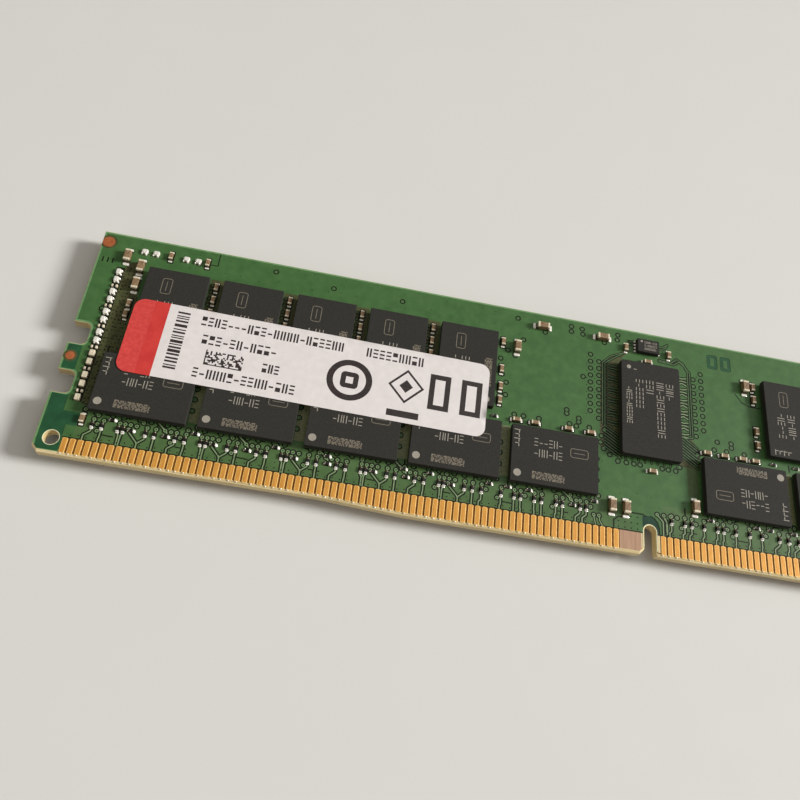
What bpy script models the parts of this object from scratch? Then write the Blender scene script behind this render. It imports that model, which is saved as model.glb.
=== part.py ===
"""Registered memory module: a 288-contact board with 36 memory chips, lying flat.

The module lies on its back chips with the labelled side up.  The frame has its
origin under the middle of the board on the plane that it lies on, +X along the
board, +Y from the contact edge to the plain top edge, and +Z out of the labelled
side.  The drawing below is in board millimetres: x from the board's left end and
y from the long level of the contact edge; to_world() turns them into the frame.
"""
import math

import bmesh
import bpy

MM = 0.001

# Driving dimensions of the board, in millimetres.
BOARD_LENGTH = 133.35
BOARD_HEIGHT = 31.25
BOARD_THICKNESS = 1.40
CORE_SKIN = 0.08            # outer copper and mask on each side of the laminate core
CORNER_CHAMFER = 0.65       # the two lower corners
EDGE_BEVEL_HEIGHT = 0.28    # the bevel along the contact edge, measured up the board
EDGE_BEVEL_DEPTH = 0.20     # the same bevel, measured into the thickness

# The contact edge steps up by half a millimetre towards both ends.
END_LEVEL = 0.50
LEFT_SLOPE = (32.25, 42.45)
RIGHT_SLOPE = (96.85, 107.05)

# Key notch.
KEY_CENTRE = 72.25
KEY_WIDTH = 1.50
KEY_DEPTH = 3.75
KEY_LEAD_IN = 0.60          # cut corner on the side of the longer contact row
KEY_EASE = 0.15             # small cut corner on the other side

# Latch notches in both ends, and the round hole near each lower corner.
LATCH_DEPTH = 2.10
LATCH_CORNER = 0.70
LATCH_NOTCHES = ((8.00, 11.00), (14.60, 17.60))
HOLE_INSET = 1.80
HOLE_HEIGHT = 2.40
HOLE_DIAMETER = 1.75

# Gold contacts.
PITCH = 0.85
CONTACT_WIDTH = 0.60
CONTACT_TOP = 2.62
CONTACT_FOOT = 0.26         # bare strip between the contacts and the board's edge
CONTACT_THICKNESS = 0.07
LEFT_FIRST_CONTACT = 3.35
LEFT_CONTACTS = 77
RIGHT_FIRST_CONTACT = 73.90
RIGHT_CONTACTS = 67
BUS_HEIGHT = 0.30           # thin copper that joins the contacts under the mask
BUS_THICKNESS = 0.02

# Solder mask.
MASK_THICKNESS = 0.03
MASK_PULLBACK = 0.06        # bare rim along the routed edges and round the holes
MASK_FOOT = 2.64            # lower limit of the mask above the contacts
MASK_END_WIDTH = 2.96       # width of the masked corner beside the first contact

# Memory packages.
PACKAGE_LONG = 11.00
PACKAGE_SHORT = 7.50
PACKAGE_HEIGHT = 1.20       # over the solder balls
BALL_STANDOFF = 0.30
PACKAGE_BEVEL = 0.05
LOWER_ROW_Y = 9.86
UPPER_ROW_Y = 20.91
LEFT_LOWER_START = 10.42
LEFT_UPPER_START = 10.66
RIGHT_LOWER_START = 84.60
RIGHT_UPPER_START = 91.95
LOWER_PITCH = 12.34
UPPER_PITCH = 9.34
LEFT_COLUMNS = 5
RIGHT_COLUMNS = 4

# Register (clock and address driver) and the small configuration chip above it.
REGISTER_CENTRE = (72.33, 19.00)
REGISTER_SIZE = (8.00, 13.50)
REGISTER_CORNER = 0.35
CONFIG_CENTRE = (72.39, 28.76)
CONFIG_SIZE = (3.00, 2.00)
CONFIG_HEIGHT = 0.75
CONFIG_STANDOFF = 0.06

# Label across both rows of front packages.
LABEL_CENTRE = (28.70, 16.22)
LABEL_SIZE = (44.35, 10.15)
LABEL_CORNER = 1.30
LABEL_TILT = -0.72          # degrees
LABEL_THICKNESS = 0.10

# Ceramic capacitors in two sizes, each as length, width and height.
LARGE_CAPACITOR = (1.60, 0.80, 0.80)
SMALL_CAPACITOR = (1.00, 0.50, 0.50)
CAPACITOR_BEVEL = 0.07
CAPACITOR_STANDOFF = 0.04
CAPACITORS = (
    # centre x, centre y, True where the length runs up the board, and the size
    (3.68, 27.89, True, LARGE_CAPACITOR),
    (5.62, 26.66, True, LARGE_CAPACITOR),
    (5.66, 24.00, True, LARGE_CAPACITOR),
    (54.57, 25.19, True, LARGE_CAPACITOR),
    (57.88, 29.07, False, LARGE_CAPACITOR),
    (66.15, 29.10, False, LARGE_CAPACITOR),
    (67.35, 5.40, True, LARGE_CAPACITOR),
    (69.15, 5.40, True, LARGE_CAPACITOR),
    (78.05, 6.95, True, LARGE_CAPACITOR),
    (86.00, 25.40, True, LARGE_CAPACITOR),
    (69.43, 28.25, True, SMALL_CAPACITOR),
    (75.42, 28.22, True, SMALL_CAPACITOR),
    (72.41, 26.58, False, SMALL_CAPACITOR),
    (72.66, 10.82, False, SMALL_CAPACITOR),
)

GAP = 0.01                  # between touching layers
ARC_STEPS = 6
HOLE_SIDES = 32

# Heights over the plane that the module lies on.
BOARD_BACK = PACKAGE_HEIGHT
BOARD_FRONT = BOARD_BACK + BOARD_THICKNESS
CORE_BACK = BOARD_BACK + CORE_SKIN
CORE_FRONT = BOARD_FRONT - CORE_SKIN
FRONT_PACKAGE_TOP = BOARD_FRONT + PACKAGE_HEIGHT


# ---------------------------------------------------------------- helpers

def to_world(x, y, z):
    """Board millimetres to metres in the module's frame."""
    return ((x - BOARD_LENGTH / 2) * MM, (y - BOARD_HEIGHT / 2) * MM, z * MM)


def clear_scene():
    for old in list(bpy.data.objects):
        bpy.data.objects.remove(old, do_unlink=True)


def make_material(name, colour, roughness, metallic=0.0):
    material = bpy.data.materials.new(name)
    material.use_nodes = True
    shader = material.node_tree.nodes["Principled BSDF"]
    shader.inputs["Base Color"].default_value = (*colour, 1.0)
    shader.inputs["Roughness"].default_value = roughness
    shader.inputs["Metallic"].default_value = metallic
    return material


def add_object(name, mesh, material):
    piece = bpy.data.objects.new(name, mesh)
    bpy.context.scene.collection.objects.link(piece)
    piece.data.materials.append(material)
    return piece


def mesh_from(name, bm):
    bmesh.ops.recalc_face_normals(bm, faces=bm.faces)
    mesh = bpy.data.meshes.new(name)
    bm.to_mesh(mesh)
    bm.free()
    return mesh


def arc(centre, radius, start, end, steps=ARC_STEPS):
    """Points on an arc, angles in degrees, both ends included."""
    points = []
    for step in range(steps + 1):
        angle = math.radians(start + (end - start) * step / steps)
        points.append((centre[0] + radius * math.cos(angle), centre[1] + radius * math.sin(angle)))
    return points


def prism(name, outline, bottom, top, material):
    """A straight solid on a closed outline given in board millimetres."""
    bm = bmesh.new()
    low = [bm.verts.new(to_world(x, y, bottom)) for x, y in outline]
    high = [bm.verts.new(to_world(x, y, top)) for x, y in outline]
    bm.faces.new(list(reversed(low)))
    bm.faces.new(high)
    for here in range(len(outline)):
        there = (here + 1) % len(outline)
        bm.faces.new((low[here], low[there], high[there], high[here]))
    return add_object(name, mesh_from(name, bm), material)


def cut_round(piece, centre, diameter):
    """Cut a round hole through a piece with a helper cylinder."""
    bm = bmesh.new()
    bmesh.ops.create_cone(
        bm, cap_ends=True, segments=HOLE_SIDES,
        radius1=diameter * MM / 2, radius2=diameter * MM / 2, depth=4 * BOARD_THICKNESS * MM)
    cutter_name = "cutter_" + piece.name
    cutter = bpy.data.objects.new(cutter_name, mesh_from(cutter_name, bm))
    bpy.context.scene.collection.objects.link(cutter)
    cutter.location = to_world(*centre, (BOARD_BACK + BOARD_FRONT) / 2)
    cutter.hide_render = True
    cutter.display_type = "WIRE"
    cut = piece.modifiers.new("hole", "BOOLEAN")
    cut.operation = "DIFFERENCE"
    cut.solver = "EXACT"
    cut.object = cutter


def block(name, centre, size, bottom, height, bevel, material):
    """A box with eased edges, standing at a height over the ground plane."""
    bm = bmesh.new()
    bmesh.ops.create_cube(bm, size=1.0)
    bmesh.ops.scale(bm, vec=(size[0] * MM, size[1] * MM, height * MM), verts=bm.verts)
    piece = add_object(name, mesh_from(name, bm), material)
    piece.location = to_world(*centre, bottom + height / 2)
    ease = piece.modifiers.new("eased_edges", "BEVEL")
    ease.width = bevel * MM
    ease.segments = 1
    return piece


# ---------------------------------------------------------------- board outline

def edge_level(x):
    """Height of the contact edge at x: long in the middle, shorter at both ends."""
    if x <= LEFT_SLOPE[0] or x >= RIGHT_SLOPE[1]:
        return END_LEVEL
    if x < LEFT_SLOPE[1]:
        return END_LEVEL * (LEFT_SLOPE[1] - x) / (LEFT_SLOPE[1] - LEFT_SLOPE[0])
    if x > RIGHT_SLOPE[0]:
        return END_LEVEL * (x - RIGHT_SLOPE[0]) / (RIGHT_SLOPE[1] - RIGHT_SLOPE[0])
    return 0.0


def left_end(inset=0.0):
    """The left end from the top corner down to the foot of the lower latch notch."""
    points = [(inset, BOARD_HEIGHT - inset)]
    for low, high in reversed(LATCH_NOTCHES):
        middle = LATCH_DEPTH - LATCH_CORNER + inset
        points.append((inset, high + inset))
        points += arc((middle, high - LATCH_CORNER + inset), LATCH_CORNER, 90, 0)
        points += arc((middle, low + LATCH_CORNER - inset), LATCH_CORNER, 0, -90)
        points.append((inset, low - inset))
    return points


def mirrored(points):
    """The same run of points at the other end of the board, in running order."""
    return [(BOARD_LENGTH - x, y) for x, y in reversed(points)]


def masked_corner():
    """The mask's edge round the chamfered lower left corner, clear of the bevel."""
    level = END_LEVEL + EDGE_BEVEL_HEIGHT
    return [
        (MASK_PULLBACK, level + CORNER_CHAMFER + MASK_PULLBACK / 2),
        (CORNER_CHAMFER + MASK_PULLBACK / 2, level + MASK_PULLBACK),
        (MASK_END_WIDTH, level + MASK_PULLBACK),
        (MASK_END_WIDTH, MASK_FOOT),
    ]


def key_notch(clearance=0.0):
    """The round-ended key notch above the lead-in, from left to right."""
    radius = KEY_WIDTH / 2 + clearance
    return arc((KEY_CENTRE, KEY_DEPTH - KEY_WIDTH / 2), radius, 180, 0, 2 * ARC_STEPS)


def contact_edge(lift):
    """The contact edge from the left corner to the right, raised by lift at the bevel."""
    left_side = KEY_CENTRE - KEY_WIDTH / 2
    right_side = KEY_CENTRE + KEY_WIDTH / 2
    points = [(CORNER_CHAMFER, END_LEVEL + lift)]
    points += [(x, edge_level(x) + lift) for x in LEFT_SLOPE]
    points.append((left_side - KEY_LEAD_IN, lift))
    points.append((left_side, KEY_LEAD_IN + lift))
    points += key_notch()
    points.append((right_side, KEY_EASE + lift))
    points.append((right_side + KEY_EASE, lift))
    points += [(x, edge_level(x) + lift) for x in RIGHT_SLOPE]
    points.append((BOARD_LENGTH - CORNER_CHAMFER, END_LEVEL + lift))
    return points


def core_ring(lift):
    """The whole board outline; only the contact edge moves with the bevel."""
    corner = [(0.0, END_LEVEL + CORNER_CHAMFER + lift)]
    left = left_end() + corner
    return left + contact_edge(lift) + mirrored(left)


# ---------------------------------------------------------------- board pieces

def make_core(material):
    """The laminate: four rings, so that both faces are bevelled along the contact edge."""
    levels = (
        (CORE_BACK, EDGE_BEVEL_HEIGHT),
        (CORE_BACK + EDGE_BEVEL_DEPTH, 0.0),
        (CORE_FRONT - EDGE_BEVEL_DEPTH, 0.0),
        (CORE_FRONT, EDGE_BEVEL_HEIGHT),
    )
    bm = bmesh.new()
    rings = []
    for height, lift in levels:
        rings.append([bm.verts.new(to_world(x, y, height)) for x, y in core_ring(lift)])
    bm.faces.new(list(reversed(rings[0])))
    bm.faces.new(rings[-1])
    for below, above in zip(rings, rings[1:]):
        for here in range(len(below)):
            there = (here + 1) % len(below)
            bm.faces.new((below[here], below[there], above[there], above[here]))
    core = add_object("pcb_core", mesh_from("pcb_core", bm), material)
    for x in (HOLE_INSET, BOARD_LENGTH - HOLE_INSET):
        cut_round(core, (x, HOLE_HEIGHT), HOLE_DIAMETER)
    return core


def mask_outline():
    """Solder mask: the whole face except the strip of contacts."""
    rim = MASK_PULLBACK
    left = left_end(rim) + masked_corner()
    radius = KEY_WIDTH / 2 + rim
    middle = [(KEY_CENTRE - radius, MASK_FOOT)]
    middle += key_notch(rim)
    middle.append((KEY_CENTRE + radius, MASK_FOOT))
    return left + middle + mirrored(left)


def make_mask(name, bottom, material):
    mask = prism(name, mask_outline(), bottom, bottom + MASK_THICKNESS, material)
    for x in (HOLE_INSET, BOARD_LENGTH - HOLE_INSET):
        cut_round(mask, (x, HOLE_HEIGHT), HOLE_DIAMETER + 2 * MASK_PULLBACK)
    return mask


def make_contacts(name, first, count, face, outward, material):
    """A row of contacts, joined at their tops by the thin copper under the mask.

    face is the height of the side that lies against the core, and outward is +1 on
    the front and -1 on the back.
    """
    bus_face = face + outward * BUS_THICKNESS
    top_face = face + outward * CONTACT_THICKNESS
    bus_top = CONTACT_TOP + BUS_HEIGHT
    bm = bmesh.new()

    def vert(x, y, z):
        return bm.verts.new(to_world(x, y, z))

    columns = []
    for index in range(count):
        centre = first + index * PITCH
        foot = edge_level(centre) + CONTACT_FOOT
        sides = []
        for x in (centre - CONTACT_WIDTH / 2, centre + CONTACT_WIDTH / 2):
            sides.append({
                "foot_low": vert(x, foot, face),
                "foot_high": vert(x, foot, top_face),
                "neck_low": vert(x, CONTACT_TOP, face),
                "neck_bus": vert(x, CONTACT_TOP, bus_face),
                "neck_high": vert(x, CONTACT_TOP, top_face),
            })
        columns.append(sides)

    left_x = first - CONTACT_WIDTH / 2
    right_x = first + (count - 1) * PITCH + CONTACT_WIDTH / 2
    bus_corners = {
        "left_low": vert(left_x, bus_top, face),
        "left_high": vert(left_x, bus_top, bus_face),
        "right_low": vert(right_x, bus_top, face),
        "right_high": vert(right_x, bus_top, bus_face),
    }

    under = []
    over = []
    for left, right in columns:
        under += [left["neck_low"], left["foot_low"], right["foot_low"], right["neck_low"]]
        over += [left["neck_bus"], right["neck_bus"]]
        bm.faces.new((left["foot_high"], right["foot_high"], right["neck_high"], left["neck_high"]))
        bm.faces.new((left["foot_low"], right["foot_low"], right["foot_high"], left["foot_high"]))
        bm.faces.new((left["neck_bus"], right["neck_bus"], right["neck_high"], left["neck_high"]))
    bm.faces.new(under + [bus_corners["right_low"], bus_corners["left_low"]])
    bm.faces.new(over + [bus_corners["right_high"], bus_corners["left_high"]])

    for left, right in columns:
        for side in (left, right):
            bm.faces.new((side["foot_low"], side["foot_high"], side["neck_high"], side["neck_bus"],
                          side["neck_low"]))
    for (_, right), (following, _) in zip(columns, columns[1:]):
        bm.faces.new((right["neck_low"], following["neck_low"], following["neck_bus"],
                      right["neck_bus"]))

    first_left = columns[0][0]
    last_right = columns[-1][1]
    bm.faces.new((first_left["neck_low"], first_left["neck_bus"], bus_corners["left_high"],
                  bus_corners["left_low"]))
    bm.faces.new((last_right["neck_low"], last_right["neck_bus"], bus_corners["right_high"],
                  bus_corners["right_low"]))
    bm.faces.new((bus_corners["left_low"], bus_corners["left_high"], bus_corners["right_high"],
                  bus_corners["right_low"]))
    return add_object(name, mesh_from(name, bm), material)


# ---------------------------------------------------------------- packages

def package_places():
    """Centre and footprint of the 18 memory packages on one side."""
    flat = (PACKAGE_LONG, PACKAGE_SHORT)
    upright = (PACKAGE_SHORT, PACKAGE_LONG)
    rows = (
        (LEFT_LOWER_START, LOWER_PITCH, LEFT_COLUMNS, LOWER_ROW_Y, flat),
        (RIGHT_LOWER_START, LOWER_PITCH, RIGHT_COLUMNS, LOWER_ROW_Y, flat),
        (LEFT_UPPER_START, UPPER_PITCH, LEFT_COLUMNS, UPPER_ROW_Y, upright),
        (RIGHT_UPPER_START, UPPER_PITCH, RIGHT_COLUMNS, UPPER_ROW_Y, upright),
    )
    for start, pitch, count, y, size in rows:
        for column in range(count):
            yield (start + column * pitch, y), size


def make_packages(side, bottom, material):
    height = PACKAGE_HEIGHT - BALL_STANDOFF
    for number, (centre, size) in enumerate(package_places(), start=1):
        name = f"dram_{side}_{number:02d}"
        block(name, centre, size, bottom, height, PACKAGE_BEVEL, material)


def rounded_rectangle(centre, size, radius, tilt=0.0):
    """Outline of a rectangle with round corners, turned by tilt degrees."""
    half_x = size[0] / 2 - radius
    half_y = size[1] / 2 - radius
    points = []
    for turn, (sign_x, sign_y) in enumerate(((1, 1), (-1, 1), (-1, -1), (1, -1))):
        corner = (sign_x * half_x, sign_y * half_y)
        points += arc(corner, radius, 90 * turn, 90 * turn + 90)
    cos_tilt = math.cos(math.radians(tilt))
    sin_tilt = math.sin(math.radians(tilt))
    return [(centre[0] + x * cos_tilt - y * sin_tilt, centre[1] + x * sin_tilt + y * cos_tilt)
            for x, y in points]


def make_register(material):
    outline = rounded_rectangle(REGISTER_CENTRE, REGISTER_SIZE, REGISTER_CORNER)
    return prism("register_chip", outline, BOARD_FRONT + BALL_STANDOFF, FRONT_PACKAGE_TOP, material)


def make_label(material):
    outline = rounded_rectangle(LABEL_CENTRE, LABEL_SIZE, LABEL_CORNER, LABEL_TILT)
    bottom = FRONT_PACKAGE_TOP + GAP
    return prism("label", outline, bottom, bottom + LABEL_THICKNESS, material)


def make_capacitors(material):
    for number, (x, y, upright, (length, width, height)) in enumerate(CAPACITORS, start=1):
        size = (width, length) if upright else (length, width)
        block(f"capacitor_{number:02d}", (x, y), size, BOARD_FRONT + CAPACITOR_STANDOFF, height,
              CAPACITOR_BEVEL, material)


# ---------------------------------------------------------------- the module

def main():
    clear_scene()
    laminate = make_material("laminate", (0.62, 0.55, 0.36), 0.60)
    green_mask = make_material("green_mask", (0.07, 0.18, 0.06), 0.35)
    gold = make_material("gold", (0.85, 0.53, 0.22), 0.30, 1.0)
    mould = make_material("black_mould", (0.035, 0.033, 0.032), 0.60)
    paper = make_material("label_paper", (0.80, 0.77, 0.76), 0.50)
    ceramic = make_material("brown_ceramic", (0.36, 0.21, 0.13), 0.45)

    make_core(laminate)
    make_mask("solder_mask_front", BOARD_FRONT - MASK_THICKNESS, green_mask)
    make_mask("solder_mask_back", BOARD_BACK, green_mask)

    sides = (("front", CORE_FRONT + GAP, 1), ("back", CORE_BACK - GAP, -1))
    for side, face, outward in sides:
        make_contacts(f"contacts_{side}_left", LEFT_FIRST_CONTACT, LEFT_CONTACTS, face, outward, gold)
        make_contacts(f"contacts_{side}_right", RIGHT_FIRST_CONTACT, RIGHT_CONTACTS, face, outward,
                      gold)

    make_packages("front", BOARD_FRONT + BALL_STANDOFF, mould)
    make_packages("back", 0.0, mould)
    make_register(mould)
    block("configuration_chip", CONFIG_CENTRE, CONFIG_SIZE, BOARD_FRONT + CONFIG_STANDOFF,
          CONFIG_HEIGHT - CONFIG_STANDOFF, PACKAGE_BEVEL, mould)
    make_label(paper)
    make_capacitors(ceramic)


main()
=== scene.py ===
import math
import random

import bmesh
import bpy
from mathutils import Matrix, Vector
from mathutils.geometry import delaunay_2d_cdt


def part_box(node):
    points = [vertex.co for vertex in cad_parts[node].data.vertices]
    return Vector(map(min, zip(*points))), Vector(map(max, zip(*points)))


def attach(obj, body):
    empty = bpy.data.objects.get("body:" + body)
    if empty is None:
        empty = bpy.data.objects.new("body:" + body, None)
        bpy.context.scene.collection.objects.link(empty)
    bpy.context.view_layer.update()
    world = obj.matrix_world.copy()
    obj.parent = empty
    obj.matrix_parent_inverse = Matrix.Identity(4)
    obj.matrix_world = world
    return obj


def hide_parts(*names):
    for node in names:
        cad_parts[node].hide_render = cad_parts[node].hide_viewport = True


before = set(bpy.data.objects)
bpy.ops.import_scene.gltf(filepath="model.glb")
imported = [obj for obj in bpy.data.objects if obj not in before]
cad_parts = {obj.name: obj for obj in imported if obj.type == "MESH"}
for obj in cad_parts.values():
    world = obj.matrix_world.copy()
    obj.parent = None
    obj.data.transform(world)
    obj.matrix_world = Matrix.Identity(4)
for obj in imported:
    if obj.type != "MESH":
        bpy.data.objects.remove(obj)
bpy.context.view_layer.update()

# A registered memory module.  Lengths are in millimetres on the board: x from its left
# end, y from the long level of the contact edge, and h outwards from either face.
MM = 0.001
CORE_LOW, CORE_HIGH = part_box("pcb_core")
FRONT_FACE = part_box("solder_mask_front")[1].z
BACK_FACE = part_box("solder_mask_back")[0].z
LENGTH = (CORE_HIGH.x - CORE_LOW.x) / MM
HEIGHT = (CORE_HIGH.y - CORE_LOW.y) / MM

# Board outline, as in the CAD.
END_LEVEL = 0.50
SLOPE = (32.25, 42.45)
RIGHT_SLOPE = (96.85, 107.05)
EDGE_BEVEL = 0.28
CHAMFER = 0.65
LATCH_NOTCHES = ((8.00, 11.00), (14.60, 17.60))
LATCH_DEPTH = 2.10
LATCH_CORNER = 0.70
HOLE = (1.80, 2.40)
HOLE_RADIUS = 0.875
KEY_X = 72.25
KEY_RADIUS = 0.75
KEY_TOP = 3.75
RIM = 0.06
RIM_WIDTH = 0.22
KEY_LEFT = KEY_X - KEY_RADIUS - RIM
KEY_RIGHT = KEY_X + KEY_RADIUS + RIM

# Contacts.
PITCH = 0.85
FINGER_WIDTH = 0.62
FINGER_TOP = 2.62
FINGER_FOOT = 0.26
FINGER_CORNER = 0.14
FINGER_EDGE = 0.075
# The strip under the contacts: how far it stays from the ends, its top, and the foot of the pour.
STRIP_END = 2.96
STRIP_TOP = 2.64
POUR_FOOT = 2.76
LEFT_FINGERS = [3.35 + PITCH * i for i in range(77)]
RIGHT_FINGERS = [73.90 + PITCH * i for i in range(67)]

# Heights over the face of the board, which is the top of the solder mask.
CORE_SURFACE = -0.08
MASK_FOOT = -0.0775
FIELD = -0.0725
BARE = -0.030
COPPER = -0.008

# Memory packages.
BALL_HEIGHT = 0.30
SUBSTRATE = 0.17
PACKAGE_TOP = 1.194
PACKAGE = (11.00, 7.50)
BALL_PITCH = 0.80
REGISTER_PITCH = 0.65
# Marks are burnt into the top: how far they reach under and over it, and how wide a line is.
MARK_FOOT = 0.002
MARK_FACE = 0.003
MARK_WEIGHT = 0.10


# ---------------------------------------------------------------- materials

# Most of a noise texture lies between these two values.
NOISE_LOW = 0.30
NOISE_HIGH = 0.70
BUMP_DEPTH = 0.00003


def paint(red, green, blue):
    """A colour given as 0 to 255 on a screen, as linear light."""
    linear = []
    for value in (red, green, blue):
        share = value / 255
        linear.append(share / 12.92 if share <= 0.04045 else ((share + 0.055) / 1.055) ** 2.4)
    return (*linear, 1.0)


def add_noise(tree, scale, detail=3.0, stretch=(1, 1, 1)):
    """Noise over the object's own coordinates; scale is in features per metre."""
    place = tree.nodes.new("ShaderNodeTexCoord")
    mapping = tree.nodes.new("ShaderNodeMapping")
    mapping.inputs["Scale"].default_value = stretch
    noise = tree.nodes.new("ShaderNodeTexNoise")
    noise.inputs["Scale"].default_value = scale
    noise.inputs["Detail"].default_value = detail
    tree.links.new(place.outputs["Object"], mapping.inputs["Vector"])
    tree.links.new(mapping.outputs["Vector"], noise.inputs["Vector"])
    return noise.outputs["Fac"]


def add_ramp(tree, source, stops):
    """A colour ramp through (position, colour) stops."""
    ramp = tree.nodes.new("ShaderNodeValToRGB")
    elements = ramp.color_ramp.elements
    while len(elements) < len(stops):
        elements.new(0.5)
    for element, (position, colour) in zip(elements, stops):
        element.position = position
        element.color = colour
    tree.links.new(source, ramp.inputs["Fac"])
    return ramp.outputs["Color"]


def make_material(name, dark, light, rough, metallic=0.0, grain=1500.0, stretch=(1, 1, 1),
                  bump=0.0, bump_scale=6000.0, coat=0.0, specular=0.5):
    """A mottled surface between two colours, with roughness and fine relief from noise too."""
    material = bpy.data.materials.new(name)
    material.use_nodes = True
    tree = material.node_tree
    shader = tree.nodes["Principled BSDF"]
    shader.inputs["Metallic"].default_value = metallic
    shader.inputs["Specular IOR Level"].default_value = specular
    shader.inputs["Coat Weight"].default_value = coat
    shader.inputs["Coat Roughness"].default_value = 0.25
    mottle = add_noise(tree, grain, 3.0, stretch)
    colour = add_ramp(tree, mottle, ((NOISE_LOW, paint(*dark)), (NOISE_HIGH, paint(*light))))
    tree.links.new(colour, shader.inputs["Base Color"])
    spread = tree.nodes.new("ShaderNodeMapRange")
    spread.inputs["From Min"].default_value = NOISE_LOW
    spread.inputs["From Max"].default_value = NOISE_HIGH
    spread.inputs["To Min"].default_value = rough[0]
    spread.inputs["To Max"].default_value = rough[1]
    tree.links.new(add_noise(tree, grain * 2.3, 2.0, stretch), spread.inputs["Value"])
    tree.links.new(spread.outputs["Result"], shader.inputs["Roughness"])
    if bump:
        relief = tree.nodes.new("ShaderNodeBump")
        relief.inputs["Strength"].default_value = bump
        relief.inputs["Distance"].default_value = BUMP_DEPTH
        tree.links.new(add_noise(tree, bump_scale, 3.0, stretch), relief.inputs["Height"])
        tree.links.new(relief.outputs["Normal"], shader.inputs["Normal"])
    return material


def make_edge_material():
    """Cut laminate: cream, with fibre streaks and thin darker layers through its thickness."""
    material = make_material("cut_laminate", (196, 176, 128), (226, 208, 162), (0.5, 0.7),
                             grain=700.0, stretch=(0.35, 0.35, 9.0), bump=0.25, bump_scale=5000.0)
    tree = material.node_tree
    shader = tree.nodes["Principled BSDF"]
    streaks = shader.inputs["Base Color"].links[0].from_socket
    place = tree.nodes.new("ShaderNodeTexCoord")
    split = tree.nodes.new("ShaderNodeSeparateXYZ")
    tree.links.new(place.outputs["Object"], split.inputs["Vector"])
    level = tree.nodes.new("ShaderNodeMapRange")
    level.inputs["From Min"].default_value = CORE_LOW.z
    level.inputs["From Max"].default_value = CORE_HIGH.z
    tree.links.new(split.outputs["Z"], level.inputs["Value"])
    plain = (1.0, 1.0, 1.0, 1.0)
    layer = (0.62, 0.56, 0.42, 1.0)
    stops = [(0.0, plain)]
    for middle in (0.16, 0.36, 0.50, 0.64, 0.84):
        stops += [(middle - 0.035, plain), (middle, layer), (middle + 0.035, plain)]
    bands = add_ramp(tree, level.outputs["Result"], stops)
    mix = tree.nodes.new("ShaderNodeMix")
    mix.data_type = "RGBA"
    mix.blend_type = "MULTIPLY"
    mix.inputs["Factor"].default_value = 1.0
    tree.links.new(streaks, mix.inputs["A"])
    tree.links.new(bands, mix.inputs["B"])
    tree.links.new(mix.outputs["Result"], shader.inputs["Base Color"])
    return material


def make_mask_material(place, dark, light, rough=(0.40, 0.52), grain=900.0, bump=0.12,
                       specular=0.35):
    """Solder mask, whose colour depends on the place that it covers."""
    return make_material(f"mask_{place}", dark, light, rough, grain=grain, bump=bump,
                         specular=specular)


LAMINATE = make_edge_material()
MASK_OVER_COPPER = make_mask_material("over_copper", (58, 94, 50), (69, 106, 58))
MASK_OVER_ROW = make_mask_material("over_row", (67, 95, 53), (78, 106, 62))
# Olive mask for one strip: the painted tone of the shadow that a package casts there.
MASK_OLIVE_SHADE = make_mask_material("olive_painted_shade", (60, 80, 38), (72, 92, 46), grain=1500.0, bump=0.14)
MASK_BARE = make_mask_material("over_laminate", (27, 70, 44), (38, 84, 53), (0.34, 0.46), bump=0.10)
# Bare mask beside the key notch, painted darker: shade that offsets the stronger light at this side of the
# board.
MASK_BY_KEY_DARKENED = make_mask_material(
    "beside_key_painted_shade", (18, 52, 38), (28, 65, 46), (0.34, 0.46), bump=0.10, specular=0.3)
MASK_DENSE = make_mask_material(
    "over_fanout", (58, 61, 35), (83, 86, 51), (0.45, 0.6), grain=3600.0, bump=0.16, specular=0.3)
# Pale olive between the lying packages: partly the board's own colour there, partly a painted olive tint
# for the shadow that falls on it.
MASK_GAP_OLIVE_SHADE = make_mask_material(
    "gap_olive_and_painted_shade", (98, 103, 70), (128, 132, 96), (0.4, 0.55), grain=4200.0, bump=0.16)
MASK_VALLEY = make_mask_material(
    "in_clearance", (16, 23, 8), (26, 34, 14), (0.5, 0.65), grain=2500.0, bump=0.0, specular=0.25)
MASK_TRACE = make_material(
    "mask_over_trace", (110, 134, 92), (130, 152, 112), (0.36, 0.46), grain=2500.0)
MASK_QUIET = make_material(
    "mask_over_fine_trace", (66, 98, 56), (82, 114, 70), (0.36, 0.46), grain=2500.0)
MASK_RIM = make_material(
    "mask_at_edge", (92, 134, 88), (112, 154, 104), (0.35, 0.5), grain=1500.0)
# Dark brown laminate between the contacts: partly a real stain, partly painted shade of the narrow gaps.
CONTACT_FIELD = make_material(
    "stained_laminate_and_painted_shade", (98, 58, 12), (128, 80, 20), (0.6, 0.8), grain=2500.0, specular=0.2)
BARE_LAMINATE = make_material(
    "bare_laminate", (160, 124, 98), (182, 146, 116), (0.45, 0.6), grain=1300.0,
    stretch=(3.0, 0.12, 1.0), bump=0.3, bump_scale=2600.0)
PALE_LAMINATE = make_material(
    "pale_rim", (222, 220, 176), (240, 238, 202), (0.45, 0.6), grain=2200.0)
GOLD = make_material(
    "gold_plate", (201, 138, 55), (220, 161, 72), (0.50, 0.62), metallic=0.25, grain=1600.0,
    stretch=(4.0, 0.5, 1.0), bump=0.12, bump_scale=9000.0)
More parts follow.
